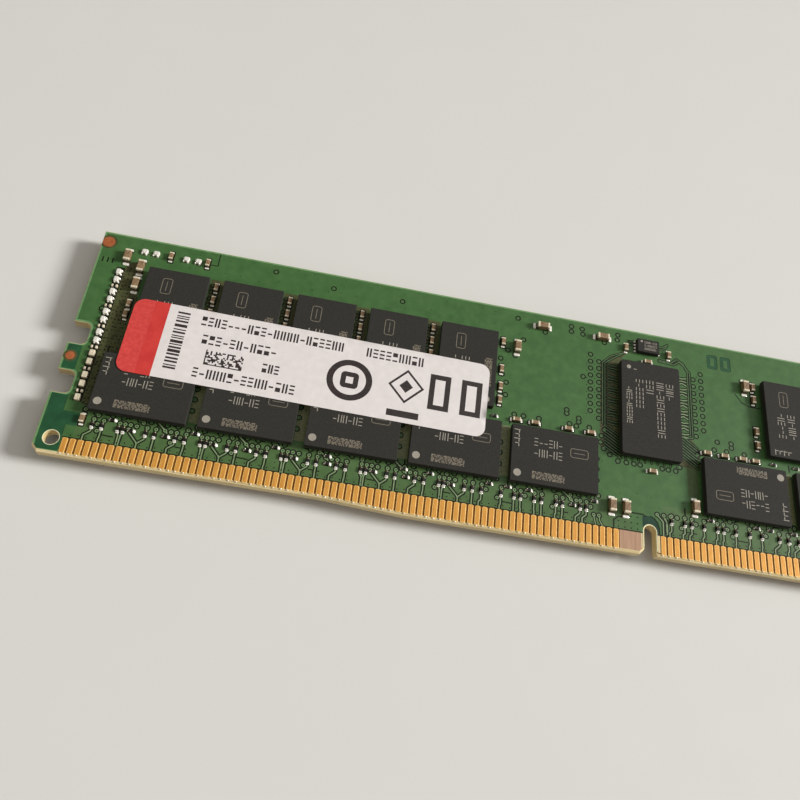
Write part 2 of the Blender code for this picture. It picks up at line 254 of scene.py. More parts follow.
# Paler gold for the band round each contact: a painted edge highlight.
GOLD_EDGE_HIGHLIGHT = make_material(
    "gold_painted_edge_highlight", (232, 186, 104), (246, 206, 128), (0.40, 0.55), metallic=0.25, grain=2600.0)
SOLDER = make_material(
    "solder", (240, 237, 226), (254, 252, 245), (0.14, 0.32), metallic=0.30, grain=3500.0,
    bump=0.35, bump_scale=5200.0)
DARK_SOLDER = make_material(
    "solder_in_shade", (58, 50, 34), (104, 90, 60), (0.25, 0.45), metallic=0.5, grain=5200.0,
    bump=0.35, bump_scale=7000.0)
TIN = make_material(
    "tin_plate", (210, 198, 170), (232, 222, 198), (0.32, 0.50), metallic=0.15, grain=4200.0,
    bump=0.35, bump_scale=9000.0)
CERAMIC = make_material(
    "capacitor_ceramic", (116, 92, 66), (148, 122, 92), (0.45, 0.6), grain=3600.0,
    bump=0.15, bump_scale=9000.0)
RESISTOR = make_material(
    "resistor_glaze", (14, 13, 11), (26, 24, 22), (0.22, 0.4), grain=3000.0)
MOULD = make_material(
    "mould_compound", (43, 42, 39), (52, 51, 47), (0.66, 0.84), grain=5200.0, bump=0.40,
    bump_scale=14000.0, specular=0.18)
SUBSTRATE_GREEN = make_material(
    "package_substrate", (40, 52, 38), (56, 68, 50), (0.5, 0.65), grain=3000.0,
    stretch=(1.0, 1.0, 6.0))
LASER = make_material(
    "laser_mark", (134, 128, 118), (166, 160, 148), (0.6, 0.8), grain=9000.0)
FAINT_LASER = make_material(
    "faint_laser_mark", (98, 90, 78), (134, 125, 109), (0.6, 0.8), grain=9000.0)
PAPER = make_material(
    "label_paper", (217, 211, 210), (225, 219, 218), (0.42, 0.52), grain=1100.0, bump=0.10,
    bump_scale=4200.0, coat=0.08)
RED_INK = make_material(
    "red_band", (194, 58, 56), (212, 73, 68), (0.40, 0.50), grain=2600.0, bump=0.12,
    bump_scale=9000.0)
SMOOTH_RED_INK = make_material(
    "red_band_smooth", (194, 52, 50), (206, 62, 57), (0.34, 0.42), grain=900.0)
BLACK_INK = make_material(
    "black_ink", (34, 28, 28), (52, 44, 42), (0.45, 0.6), grain=4200.0)
COPPER_METAL = make_material(
    "bare_copper", (182, 100, 58), (206, 124, 78), (0.38, 0.55), metallic=0.55, grain=2600.0,
    bump=0.25, bump_scale=6000.0)


# ---------------------------------------------------------------- outlines

def arc(centre, radius, start, end, steps):
    """Points on an arc, angles in degrees, both ends included."""
    points = []
    for step in range(steps + 1):
        angle = math.radians(start + (end - start) * step / steps)
        points.append((centre[0] + radius * math.cos(angle), centre[1] + radius * math.sin(angle)))
    return points


def circle(centre, radius, sides=12):
    """A closed circle as an outline."""
    return arc(centre, radius, 0, 360, sides)[:-1]


def rectangle(x, y, width, height, corner=0.0, steps=2):
    """A rectangle about its centre, anticlockwise, with round corners if asked."""
    half_x = width / 2 - corner
    half_y = height / 2 - corner
    points = []
    for turn, (sign_x, sign_y) in enumerate(((1, 1), (-1, 1), (-1, -1), (1, -1))):
        middle = (x + sign_x * half_x, y + sign_y * half_y)
        if corner:
            points += arc(middle, corner, 90 * turn, 90 * turn + 90, steps)
        else:
            points.append(middle)
    return points


def span(x0, y0, x1, y1):
    """A rectangle between two corners."""
    return rectangle((x0 + x1) / 2, (y0 + y1) / 2, abs(x1 - x0), abs(y1 - y0))


def inset(outline, distance):
    """An anticlockwise outline moved inwards by a distance, corner by corner."""
    moved = []
    for index, (x, y) in enumerate(outline):
        before = Vector(outline[index - 1])
        here = Vector((x, y))
        after = Vector(outline[(index + 1) % len(outline)])
        normal_in = (here - before).orthogonal().normalized()
        normal_out = (after - here).orthogonal().normalized()
        middle = normal_in + normal_out
        stretch = 2 / max(middle.length_squared, 0.5)
        moved.append((x + middle.x * stretch * distance, y + middle.y * stretch * distance))
    return moved


def turned(outline, centre, degrees):
    """An outline turned about a centre."""
    cos_a = math.cos(math.radians(degrees))
    sin_a = math.sin(math.radians(degrees))
    points = []
    for x, y in outline:
        dx = x - centre[0]
        dy = y - centre[1]
        points.append((centre[0] + dx * cos_a - dy * sin_a, centre[1] + dx * sin_a + dy * cos_a))
    return points


def stroke(start, end, width):
    """A straight line of a width, with blunt round ends."""
    along = Vector(end) - Vector(start)
    angle = math.degrees(math.atan2(along.y, along.x))
    steps = 2 if width < 0.30 else 3
    return (arc(end, width / 2, angle - 90, angle + 90, steps)
            + arc(start, width / 2, angle + 90, angle + 270, steps))


# ---------------------------------------------------------------- solids

class Shape:
    """Closed solids in millimetres, gathered into one mesh."""

    def __init__(self):
        self.points = []
        self.faces = []
        self.finishes = []
        self.curved = []
        self.spot(0.0, 0.0)

    def spot(self, x, y, turn=0.0):
        """What is added next is drawn about this point, turned by so many degrees."""
        self.origin = (x, y)
        self.cos = math.cos(math.radians(turn))
        self.sin = math.sin(math.radians(turn))

    def add(self, points, faces, finish, curved=False):
        """Points moved and turned to the spot, with faces over them."""
        start = len(self.points)
        for x, y, h in points:
            self.points.append((self.origin[0] + x * self.cos - y * self.sin,
                                self.origin[1] + x * self.sin + y * self.cos, h))
        for face in faces:
            self.faces.append([start + index for index in face])
            self.finishes.append(finish)
            self.curved.append(curved)

    def loft(self, rings, finish, curved=False):
        """A solid through rings that have the same number of points, closed at both ends."""
        count = len(rings[0])
        points = [point for ring in rings for point in ring]
        faces = [list(range(count))[::-1]]
        for level in range(len(rings) - 1):
            base = level * count
            for here in range(count):
                there = (here + 1) % count
                faces.append((base + here, base + there, base + count + there, base + count + here))
        faces.append([(len(rings) - 1) * count + index for index in range(count)])
        self.add(points, faces, finish, curved)

    def plate(self, outline, low, high, finish, top=0.0, bottom=0.0):
        """A plate on an outline, with its upper and lower edges rounded by top and bottom."""
        steps = []
        if bottom:
            steps += [(bottom, low), (bottom * 0.3, low + bottom * 0.3), (0.0, low + bottom)]
        else:
            steps.append((0.0, low))
        if top:
            steps += [(0.0, high - top), (top * 0.3, high - top * 0.3), (top, high)]
        else:
            steps.append((0.0, high))
        rings = []
        for distance, height in steps:
            ring = inset(outline, distance) if distance else outline
            rings.append([(x, y, height) for x, y in ring])
        self.loft(rings, finish)

    def bead(self, x, y, radius_x, radius_y, low, high, finish, sides=10):
        """A low dome with an oval foot."""
        rings = []
        for angle in (0, 25, 50, 75):
            share = math.cos(math.radians(angle))
            height = low + (high - low) * math.sin(math.radians(angle))
            ring = circle((0.0, 0.0), 1.0, sides)
            rings.append([(x + a * radius_x * share, y + b * radius_y * share, height)
                          for a, b in ring])
        self.loft(rings, finish, True)

    def ball(self, x, y, radius, low, high, finish, sides=8):
        """A squashed ball between two heights."""
        rings = []
        for angle in (-62, -25, 25, 62):
            share = math.cos(math.radians(angle)) * radius
            height = (low + high) / 2 + (high - low) / 2 * math.sin(math.radians(angle)) / 0.883
            rings.append([(x + a, y + b, height) for a, b in circle((0.0, 0.0), share, sides)])
        self.loft(rings, finish, True)

    def relief(self, regions, bottom, sag=None):
        """A plate whose top is cut into regions of (outline, height, finish).

        The first region is the whole plate.  A later region lies over the earlier ones,
        and one with no height is a hole.
        """
        corners = []
        rings = []
        for outline, _, _ in regions:
            rings.append(list(range(len(corners), len(corners) + len(outline))))
            corners += [Vector(point) for point in outline]
        flat, _, triangles, _, _, owners = delaunay_2d_cdt(corners, [], rings, 1, 1e-6)
        kept = []
        levels = [set() for _ in flat]
        for triangle, inside in zip(triangles, owners):
            if 0 not in inside:
                continue
            _, height, finish = regions[max(inside)]
            if height is None:
                continue
            kept.append((triangle, height, finish))
            for corner in triangle:
                levels[corner].add(height)
        numbers = {}
        points = []

        def number(corner, height):
            """Each corner has one point at each height that it's asked for."""
            key = (corner, height)
            if key not in numbers:
                numbers[key] = len(points)
                x, y = flat[corner]
                drop = sag(x, y) if sag else 0.0
                points.append((x, y, height + drop))
            return numbers[key]

        tops = {}
        for triangle, height, finish in kept:
            for here in range(3):
                tops[(triangle[here], triangle[(here + 1) % 3])] = (height, finish)
        walls = []
        for (start, end), (height, finish) in tops.items():
            other = tops.get((end, start), (bottom, finish))[0]
            if other >= height:
                continue
            up = [h for h in sorted(levels[end]) if other < h < height]
            down = [h for h in sorted(levels[start], reverse=True) if other < h < height]
            wall = [number(start, other), number(end, other)] + [number(end, h) for h in up]
            wall += [number(end, height), number(start, height)] + [number(start, h) for h in down]
            walls.append((wall, finish))
        by_finish = {}
        for triangle, height, finish in kept:
            faces = by_finish.setdefault(finish, [])
            faces.append([number(corner, height) for corner in triangle])
            faces.append([number(corner, bottom) for corner in reversed(triangle)])
        for wall, finish in walls:
            by_finish.setdefault(finish, []).append(wall)
        start = len(self.points)
        self.add(points, [], None)
        for finish, faces in by_finish.items():
            for face in faces:
                self.faces.append([start + index for index in face])
                self.finishes.append(finish)
                self.curved.append(sag is not None)

    def burn(self, outline, face, finish=LASER):
        """A burnt mark, which reaches a little under and a little over the face."""
        self.plate(outline, face - MARK_FOOT, face + MARK_FACE, finish)

    def mesh(self, name, to_metres):
        """The finished mesh; to_metres gives the place of each point."""
        mesh = bpy.data.meshes.new(name)
        mesh.from_pydata([to_metres(*point) for point in self.points], [], self.faces)
        finishes = list(dict.fromkeys(self.finishes))
        for finish in finishes:
            mesh.materials.append(finish)
        mesh.polygons.foreach_set("material_index", [finishes.index(f) for f in self.finishes])
        bm = bmesh.new()
        bm.from_mesh(mesh)
        bmesh.ops.recalc_face_normals(bm, faces=bm.faces)
        bm.to_mesh(mesh)
        bm.free()
        mesh.set_sharp_from_angle(angle=math.radians(60))
        mesh.polygons.foreach_set("use_smooth", self.curved)
        return mesh

    def make(self, name, to_metres, slot, *nodes):
        """The finished piece, and the CAD nodes that it stands for."""
        add_piece(name, self.mesh(name, to_metres), nodes)


def add_object(name, data):
    """A new object in the scene."""
    made = bpy.data.objects.new(name, data)
    bpy.context.scene.collection.objects.link(made)
    return made


def add_piece(name, mesh, nodes, place=Matrix.Identity(4)):
    """A piece of the module; every piece rides on the one body."""
    piece = add_object(name, mesh)
    piece.matrix_world = place
    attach(piece, "root")
    if nodes:
        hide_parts(*nodes)


def on_front(x, y, h):
    """Board millimetres to metres, with h upwards from the front face."""
    return (CORE_LOW.x + x * MM, CORE_LOW.y + y * MM, FRONT_FACE + h * MM)


def on_back(x, y, h):
    """Board millimetres to metres, with h downwards from the back face."""
    return (CORE_LOW.x + x * MM, CORE_LOW.y + y * MM, BACK_FACE - h * MM)


def as_drawn(x, y, h):
    """Millimetres to metres about the shape's own centre."""
    return (x * MM, y * MM, h * MM)


FACES = {"front": on_front, "back": on_back}


def board_place(node):
    """Centre and size of a CAD node in board millimetres, and the height that it reaches."""
    low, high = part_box(node)
    centre = ((low + high) / 2 - CORE_LOW) / MM
    size = (high - low) / MM
    return centre.x, centre.y, size, (high.z - FRONT_FACE) / MM


# ---------------------------------------------------------------- solder mask and copper

def edge_level(x):
    """Height of the contact edge: long in the middle, half a millimetre shorter at the ends."""
    if x <= SLOPE[0] or x >= RIGHT_SLOPE[1]:
        return END_LEVEL
    if x < SLOPE[1]:
        return END_LEVEL * (SLOPE[1] - x) / (SLOPE[1] - SLOPE[0])
    if x > RIGHT_SLOPE[0]:
        return END_LEVEL * (x - RIGHT_SLOPE[0]) / (RIGHT_SLOPE[1] - RIGHT_SLOPE[0])
    return 0.0


def left_side(rim):
    """The left end of the board, from the top corner down to the chamfer."""
    points = [(rim, HEIGHT - rim)]
    for low, high in reversed(LATCH_NOTCHES):
        middle = LATCH_DEPTH - LATCH_CORNER + rim
        points.append((rim, high + rim))
        points += arc((middle, high - LATCH_CORNER + rim), LATCH_CORNER, 90, 0, 6)
        points += arc((middle, low + LATCH_CORNER - rim), LATCH_CORNER, 0, -90, 6)
        points.append((rim, low - rim))
    level = END_LEVEL + EDGE_BEVEL
    points.append((rim, level + CHAMFER + rim))
    points.append((CHAMFER + rim, level + rim))
    return points


def board_outline(rim):
    """The face of the board, without its bevel along the contact edge."""
    level = EDGE_BEVEL + rim
    left = left_side(rim)
    radius = KEY_RADIUS + rim
    middle = [(x, edge_level(x) + level) for x in SLOPE]
    middle += [(KEY_X - radius - 0.6, level), (KEY_X - radius, level + 0.6)]
    middle += arc((KEY_X, KEY_TOP - KEY_RADIUS), radius, 180, 0, 14)
    middle += [(KEY_X + radius, level + 0.15), (KEY_X + radius + 0.15, level)]
    middle += [(x, edge_level(x) + level) for x in RIGHT_SLOPE]
    right = [(LENGTH - x, y) for x, y in reversed(left)]
    return left + middle + right


def both_ends(outline):
    """An outline at the left end and its mirror image at the right end."""
    return [outline, [(LENGTH - x, y) for x, y in reversed(outline)]]


class Copper:
    """What is seen through the solder mask: cleared lines, tracks, vias and dots."""

    def __init__(self):
        self.fields = []
        self.cleared = []
        self.tracks = []
        self.centres = []

    def field(self, outline, height, finish):
        """A whole area at one height and finish."""
        self.fields.append((outline, height, finish))

    def clear(self, outline):
        """An area with no copper under the mask."""
        self.cleared.append((outline, BARE, MASK_VALLEY))

    def cut(self, points, width=0.19):
        """A cleared line between two areas of copper."""
        for start, end in zip(points, points[1:]):
            self.clear(stroke(start, end, width))

    def track(self, points, width=0.14, gap=0.18, finish=MASK_TRACE):
        """A track through points, with a cleared line along both sides."""
        self.cut(points, width + 2 * gap)
        for start, end in zip(points, points[1:]):
            self.tracks.append((stroke(start, end, width), COPPER, finish))

    def via(self, x, y, radius=0.22, gap=0.18, finish=MASK_TRACE):
        """A ring in a cleared circle; the paler kind shows its filled hole."""
        self.clear(circle((x, y), radius + gap, 11))
        self.tracks.append((circle((x, y), radius, 9), COPPER, finish))
        self.tracks.append((circle((x, y), radius * 0.60, 6), COPPER, MASK_OVER_COPPER))
        if finish is MASK_TRACE:
            self.dot(x, y, 0.06)

    def quiet_via(self, x, y, radius=0.22, gap=0.18):
        """A via whose ring is hardly paler than the copper round it."""
        self.via(x, y, radius, gap, MASK_QUIET)

    def quiet_track(self, points, width=0.10, gap=0.14):
        """A fine track that is hardly paler than the copper round it."""
        self.track(points, width, gap, MASK_QUIET)

    def dot(self, x, y, radius=0.08):
        """A small dark dot, such as a filled hole."""
        self.centres.append((circle((x, y), radius, 5), BARE, MASK_VALLEY))

    def regions(self):
        """All areas, from the lowest layer to the highest."""
        return self.fields + self.cleared + self.tracks + self.centres


def add_areas(copper):
    """Large areas: copper pour, the bare corners, the rims, and the strips of the contacts."""
    outline = board_outline(RIM)
    copper.field(outline, BARE, MASK_RIM)
    copper.field(inset(outline, RIM_WIDTH), COPPER, MASK_OVER_COPPER)
    for strip in (
        [(0.30, 0.90), (2.90, 0.90), (2.90, 4.20), (4.05, 4.20), (4.05, 5.85), (2.15, 5.85),
         (2.15, 7.85), (0.30, 7.85)],
        [(0.30, 11.15), (1.85, 11.15), (1.85, 14.45), (0.30, 14.45)],
    ):
        for area in both_ends(strip):
            copper.field(area, BARE, MASK_BARE)
    # A dark strip behind the columns at both ends: partly a cleared gap in the mask, partly painted shadow
    # beside the parts.
    for area in both_ends(span(2.72, 7.25, 3.75, 26.25)):
        copper.field(area, BARE, MASK_VALLEY)
    for low, high in ((4.05, KEY_X - 2.4), (KEY_X + 1.6, LENGTH - 4.05)):
        copper.field(span(low, POUR_FOOT, high, 6.55), COPPER, MASK_OVER_ROW)
    for low, high in ((STRIP_END, KEY_LEFT), (KEY_RIGHT, LENGTH - STRIP_END)):
        bends = [x for x in (*SLOPE, *RIGHT_SLOPE) if low < x < high]
        strip = [(x, edge_level(x) + EDGE_BEVEL + 0.02) for x in (low, *bends, high)]
        # The strip between the contacts is stained laminate, darkened further with painted shade.
        copper.field(strip + [(high, STRIP_TOP), (low, STRIP_TOP)], FIELD, CONTACT_FIELD)
        # A dark line along the tops of the contacts: painted shadow of the mask edge.
        copper.clear(span(low, STRIP_TOP, high, POUR_FOOT))
    copper.field(span(68.42, 0.31, 70.85, STRIP_TOP), FIELD, BARE_LAMINATE)
    copper.field([(70.85, 0.31), (71.39, 0.85), (71.39, STRIP_TOP), (70.85, STRIP_TOP)], FIELD,
                 BARE_LAMINATE)
    copper.field(span(73.20, 0.50, 73.52, STRIP_TOP), FIELD, LAMINATE)
    copper.field(span(71.14, 0.80, 71.39, STRIP_TOP), FIELD, LAMINATE)


def add_key_surround(copper):
    """Round the key notch: bare mask painted darker as shade, a pale rim, and the cut in the pour."""
    # This bare mask is painted darker as shade against the stronger light at this side.
    copper.field([(71.30, 2.66), (73.40, 2.66), (73.36, 3.60), (73.15, 4.25), (72.75, 4.70), (72.30, 4.90),
                  (71.50, 4.95), (71.30, 4.80)], BARE, MASK_BY_KEY_DARKENED)
    copper.cut([(72.30, 4.95), (72.80, 4.75), (73.22, 4.28), (73.43, 3.60), (73.46, 2.75)], 0.13)
    copper.track([(74.15, 4.95), (74.42, 4.5), (74.42, 2.95)], 0.20, 0.12)
    outer = KEY_RADIUS + RIM + 0.08
    rim = [(KEY_X - outer, 0.95)] + arc((KEY_X, KEY_TOP - KEY_RADIUS), outer, 180, 0, 14)
    rim += [(KEY_X + outer, 0.60), (KEY_X + KEY_RADIUS, 0.60)]
    rim += arc((KEY_X, KEY_TOP - KEY_RADIUS), KEY_RADIUS, 0, 180, 14)
    rim.append((KEY_X - KEY_RADIUS, 0.95))
    copper.tracks.append((rim[::-1], BARE, PALE_LAMINATE))
    copper.cut([(69.9, 5.0), (71.4, 5.0), (71.75, 4.75)])
    copper.cut([(67.65, 2.70), (67.65, 3.75), (68.25, 4.25), (69.0, 4.25)])
    for column in range(4):
        for row_y in (2.95, 3.65, 4.45):
            if row_y < 4.0 or column > 1:
                copper.dot(68.25 + 0.8 * column, row_y + 0.05, 0.11)


def add_holes(copper):
    """The two round holes near the lower corners, each with a pale rim."""
    for x in (HOLE[0], LENGTH - HOLE[0]):
        centre = (x, HOLE[1])
        copper.centres.append((circle(centre, HOLE_RADIUS + 0.07, 32), BARE, PALE_LAMINATE))
        copper.centres.append((circle(centre, HOLE_RADIUS + 0.01, 32), None, None))


# Small resistors above the contacts.  The pattern repeats every eleven contacts at both
# ends of the board, and follows its own spacing between x = 51 and 92.
GROUP = 11 * PITCH
UPRIGHT_IN_GROUP = (0.0, 1.1, 2.9, 3.5, 6.0, 7.0)
FLAT_IN_GROUP = (4.4, 8.3)
MIDDLE_UPRIGHT = (51.2, 53.6, 55.2, 56.0, 57.7, 58.6, 60.4, 61.2, 63.4, 64.2, 75.0, 76.7, 77.6, 79.2,
                  80.9, 81.7, 83.3, 85.1, 86.7, 89.0, 90.2, 91.6)
MIDDLE_FLAT = (62.5, 93.4)
ROW_Y = 4.62
PAIR_Y = 5.62


def row_places():
    """x of the upright and of the flat resistors over the contacts."""
    upright = []
    flat = []
    for group in range(5):
        start = 5.7 + GROUP * group
        for offset in UPRIGHT_IN_GROUP:
            upright += [start + offset, LENGTH - start - offset]
        for offset in FLAT_IN_GROUP:
            flat += [start + offset, LENGTH - start - offset]
    upright = [x for x in upright if x < 51.0 or x > 94.0] + list(MIDDLE_UPRIGHT)
    flat = [x for x in flat if x < 51.0 or x > 94.0] + list(MIDDLE_FLAT)
    return sorted(upright), sorted(flat)


PAIRS = (7.8, 17.2, 26.5, 32.6, 41.7, 44.9, 52.1, 54.4, 57.0, 65.2, 80.1, 86.1, 87.9, 91.0, 97.6, 106.9,
         116.2, 125.5)


def nearest_finger(x):
    """x of the contact nearest to a place."""
    return min(LEFT_FINGERS + RIGHT_FINGERS, key=lambda finger: abs(finger - x))


def add_upright_tracks(copper, upright):
    """Vias over the upright resistors, and tracks from them down to the contacts."""
    for index, x in enumerate(upright):
        after = upright[(index + 1) % len(upright)]
        before = upright[index - 1]
        copper.clear(rectangle(x, ROW_Y, 0.56, 1.06, 0.12))
        if 0.5 < after - x < 0.7:
            copper.track([(x, 4.3), (x + 0.18, 3.9), (x + 0.20, 2.7)])
        elif 0.5 < x - before < 0.7:
            copper.track([(x, 4.3), (x - 0.15, 3.9), (x - 0.17, 2.7)])
        else:
            finger = nearest_finger(x - 0.35)
            bend = 3.15 + 0.25 * abs(x - finger)
            copper.track([(x, 4.35), (x, bend + 0.9 * abs(x - finger)), (finger, bend), (finger, 2.7)])
        copper.track([(x, 4.85), (x + 0.05, 5.32)])
        copper.via(x + 0.05, 5.40)
        if index % 3 == 0:
            copper.via(x + 0.55, 4.85)
        if index % 5 == 1:
            copper.via(x - 0.42, 4.05)
            copper.cut([(x + 0.2, 3.65), (x + 1.5, 3.60)], 0.16)
        if index % 3 == 2:
            copper.cut([(x + 0.1, 5.7), (x + 0.1, 6.7)])


def add_flat_tracks(copper, flat):
    """The same for the resistors that lie along the row."""
    for index, x in enumerate(flat):
        finger = nearest_finger(x + 0.75)
        copper.clear(rectangle(x, ROW_Y + 0.05, 1.06, 0.56, 0.12))
        if index % 2 == 0:
            copper.track([(x - 0.25, 4.5), (finger - 0.1, 3.45), (finger, 3.2)])
        else:
            copper.track([(x, 5.15), (x - 0.15, 5.35), (x - 1.75, 6.75)], 0.16)
        copper.via(x - 0.25, 5.42)
        copper.via(x + 0.45, 5.38)


def add_contact_tracks(copper):
    """All that shows between the contacts and the lower packages."""
    upright, flat = row_places()
    add_upright_tracks(copper, upright)
    add_flat_tracks(copper, flat)
    for index, finger in enumerate(LEFT_FINGERS + RIGHT_FINGERS):
        if finger > KEY_X or finger < 66.0:
            copper.dot(finger + 0.42, 3.0 + 0.12 * (index % 2), 0.10)
        if finger < 66.0 or finger > 79.0:
            if index % 3 == 1:
                copper.via(finger + 0.3, 6.45)
            if index % 6 == 3:
                copper.via(finger + 0.2, 5.95)
    for x in PAIRS:
        copper.cut([(x, 5.9), (x, 6.9)])
        copper.clear(rectangle(x, PAIR_Y, 1.0, 0.5, 0.1))
    for x, finger in ((65.15, 65.40), (65.80, 66.25)):
        copper.track([(x, 3.9), (x + 0.1, 3.3), (finger, 2.7)], 0.12, 0.12)
        copper.via(x, 3.92)
    copper.track([(73.2, 5.25), (73.95, 4.45), (73.95, 2.7)])
    for step in range(4):
        copper.via(73.2 + 0.85 * step, 5.28)


LONE_VIAS = ((22.1, 29.9), (29.8, 29.0), (38.9, 29.0), (54.5, 29.8), (61.9, 30.1), (61.9, 29.3),
             (63.4, 30.0), (63.5, 29.2), (68.4, 30.1), (68.3, 29.3), (63.6, 22.7), (61.5, 17.4),
             (61.5, 16.9), (63.1, 16.5), (63.1, 16.0), (53.4, 19.8), (53.4, 18.0), (81.7, 16.6),
             (83.6, 16.7), (83.6, 16.1), (52.5, 23.2), (52.8, 20.9), (53.4, 24.6), (54.4, 24.0),
             (55.4, 26.6), (66.5, 28.5), (58.3, 28.4), (54.7, 15.45), (55.9, 15.45), (57.9, 15.45),
             (61.9, 15.5), (62.8, 15.35), (64.5, 15.45), (81.2, 15.4), (82.9, 15.45), (85.3, 15.45),
             (95.2, 29.0), (104.1, 29.0), (113.2, 29.9), (2.6, 19.9))


def add_register_tracks(copper):
    """The fan-out on both sides of the register and the vias round it."""
    copper.field([(65.9, 13.0), (68.9, 12.4), (68.9, 26.6), (70.0, 27.9), (69.6, 28.1), (66.9, 26.2),
                  (65.9, 25.4)], COPPER, MASK_DENSE)
    copper.field([(76.2, 12.2), (79.2, 12.2), (79.2, 15.0), (78.2, 16.3), (76.2, 16.3)], COPPER, MASK_DENSE)
    # An olive strip here: painted shade.
    copper.field(span(77.35, 8.4, 78.75, 12.3), COPPER, MASK_OLIVE_SHADE)
    for step in range(9):
        for x, y in ((64.6, 26.3), (79.92, 26.3), (65.75, 25.4), (78.85, 25.3)):
            copper.quiet_via(x, y - 1.05 * step)
        for x, y in ((65.17, 25.85), (79.38, 25.8), (64.1, 25.8)):
            copper.dot(x, y - 1.05 * step)
    for x, y in ((68.25, 11.5), (69.35, 11.5), (70.35, 11.5), (71.15, 11.5), (74.05, 11.5), (74.85, 11.5),
                 (75.85, 11.5), (67.2, 12.2), (76.4, 12.1), (66.4, 12.9), (66.0, 13.7), (66.1, 14.6),
                 (66.5, 15.5), (79.1, 13.4), (78.9, 14.3)):
        copper.quiet_via(x, y)
    for step in range(10):
        copper.quiet_track([(68.4 + 0.85 * step, 11.9), (68.4 + 0.85 * step, 12.5)], gap=0.11)
    for step, x in enumerate((66.25, 66.58)):
        copper.quiet_track([(x, 16.4 - 0.4 * step), (x, 25.4), (x + 1.1, 26.6 - 0.3 * step), (69.4, 27.6)],
                           gap=0.12)
    for step in range(17):
        y = 25.3 - 0.55 * step
        bend = 0.20 * (step % 3 - 1)
        copper.quiet_track([(66.9, y), (67.6, y + bend), (68.6, y - 0.1)])
        copper.track([(76.6, y - 0.1), (77.25, y + bend), (77.85, y - 0.08)], 0.15, 0.16)
    for x, low in ((78.08, 16.9), (78.40, 16.5)):
        copper.quiet_track([(x, 26.3), (x, low)], gap=0.13)
    copper.quiet_track([(78.40, 16.5), (77.2, 16.3)], gap=0.13)
    for step in range(8):
        low = 15.2 - 0.42 * step
        copper.quiet_track([(76.7, low + 1.5), (78.9, low)])
        copper.quiet_track([(66.5, low + 1.0), (68.7, low - 0.3)])


def add_config_tracks(copper):
    """Loops from the small chip over the register."""
    for step in range(2):
        out = 0.36 * step
        loop = [(74.1, 27.35 - out / 2), (75.8 + out, 27.2 - out / 2), (76.7 + out, 28.0 - out),
                (77.6 + out / 2, 27.3 - out), (78.08 + 0.32 * step, 26.2)]
        copper.quiet_track(loop, 0.12, 0.15)
        copper.quiet_track([(74.0, 29.4 - out), (74.7, 29.4 - out), (75.4, 30.0 - out * 0.7)], 0.12, 0.13)
    for y in (29.5, 29.0):
        copper.quiet_track([(69.9, y), (70.7, y)], 0.12, 0.13)
    copper.clear(rectangle(72.4, 28.76, 3.7, 1.9, 0.1))
    copper.cut([(84.7, 24.3), (85.6, 23.1), (86.6, 22.7), (88.2, 22.7)], 0.14)


def add_back_vias(copper):
    """Rows of vias behind the register, where the back has no chip."""
    for step in range(9):
        for x, y in ((65.1, 25.6), (66.4, 25.1), (78.3, 25.1), (79.6, 25.6)):
            copper.quiet_via(x, y - 1.05 * step)
    for step in range(11):
        copper.quiet_via(67.3 + step, 12.6)
        copper.quiet_via(67.8 + step, 26.9)
        copper.quiet_track([(67.8 + step, 26.7), (67.8 + step, 25.2 - 0.5 * (step % 2))], 0.12, 0.12)
        copper.quiet_track([(67.3 + step, 12.8), (67.3 + step, 14.3 + 0.4 * (step % 3))], 0.12, 0.12)
    for x, y in ((54.5, 28.9), (57.2, 22.6), (59.8, 18.4), (61.9, 29.5), (63.4, 15.9), (82.4, 28.8),
                 (84.0, 19.6)):
        copper.quiet_via(x, y)
        copper.quiet_via(x + 0.9, y - 0.15)


def add_marks(copper):
    """Plain cleared marks in the copper, in place of lettering."""
    for area in both_ends(stroke((13.9, 29.1), (14.72, 29.1), 0.14)):
        copper.clear(area)
    for area in both_ends(stroke((14.72, 29.1), (14.72, 30.95), 0.14)):
        copper.clear(area)
    for step in range(3):
        copper.cut([(0.75 + 0.62 * step, 26.7), (0.75 + 0.62 * step, 27.35)], 0.2)
    for x in (81.75, 83.65):
        copper.clear(rectangle(x, 28.6, 1.50, 2.20, 0.25))
        copper.tracks.append((rectangle(x, 28.6, 1.40, 2.10, 0.22), BARE, MASK_BARE))
        copper.tracks.append((rectangle(x, 28.6, 0.56, 1.20, 0.05), COPPER, MASK_OVER_COPPER))


def add_stitching(copper, keep_out):
    """Small tented dots in the pour, away from packages and parts."""
    chance = random.Random(7)
    step = 2.1
    for column in range(int(LENGTH / step)):
        for row_y in (3.6, 7.4, 10.9, 14.4, 28.3, 30.5):
            x = 3.4 + step * column + chance.uniform(-0.6, 0.6)
            y = row_y + chance.uniform(-0.35, 0.35)
            if chance.random() < 0.6 and not any(a < x < c and b < y < d for a, b, c, d in keep_out):
                copper.dot(x, y, 0.07)


# ---------------------------------------------------------------- package places

def memory_nodes(side):
    """Names of the CAD nodes of one side's memory packages."""
    return [f"dram_{side}_{number:02d}" for number in range(1, 19)]


def is_upright(node):
    """Whether a part stands across the board."""
    _, _, size, _ = board_place(node)
    return size.y > size.x


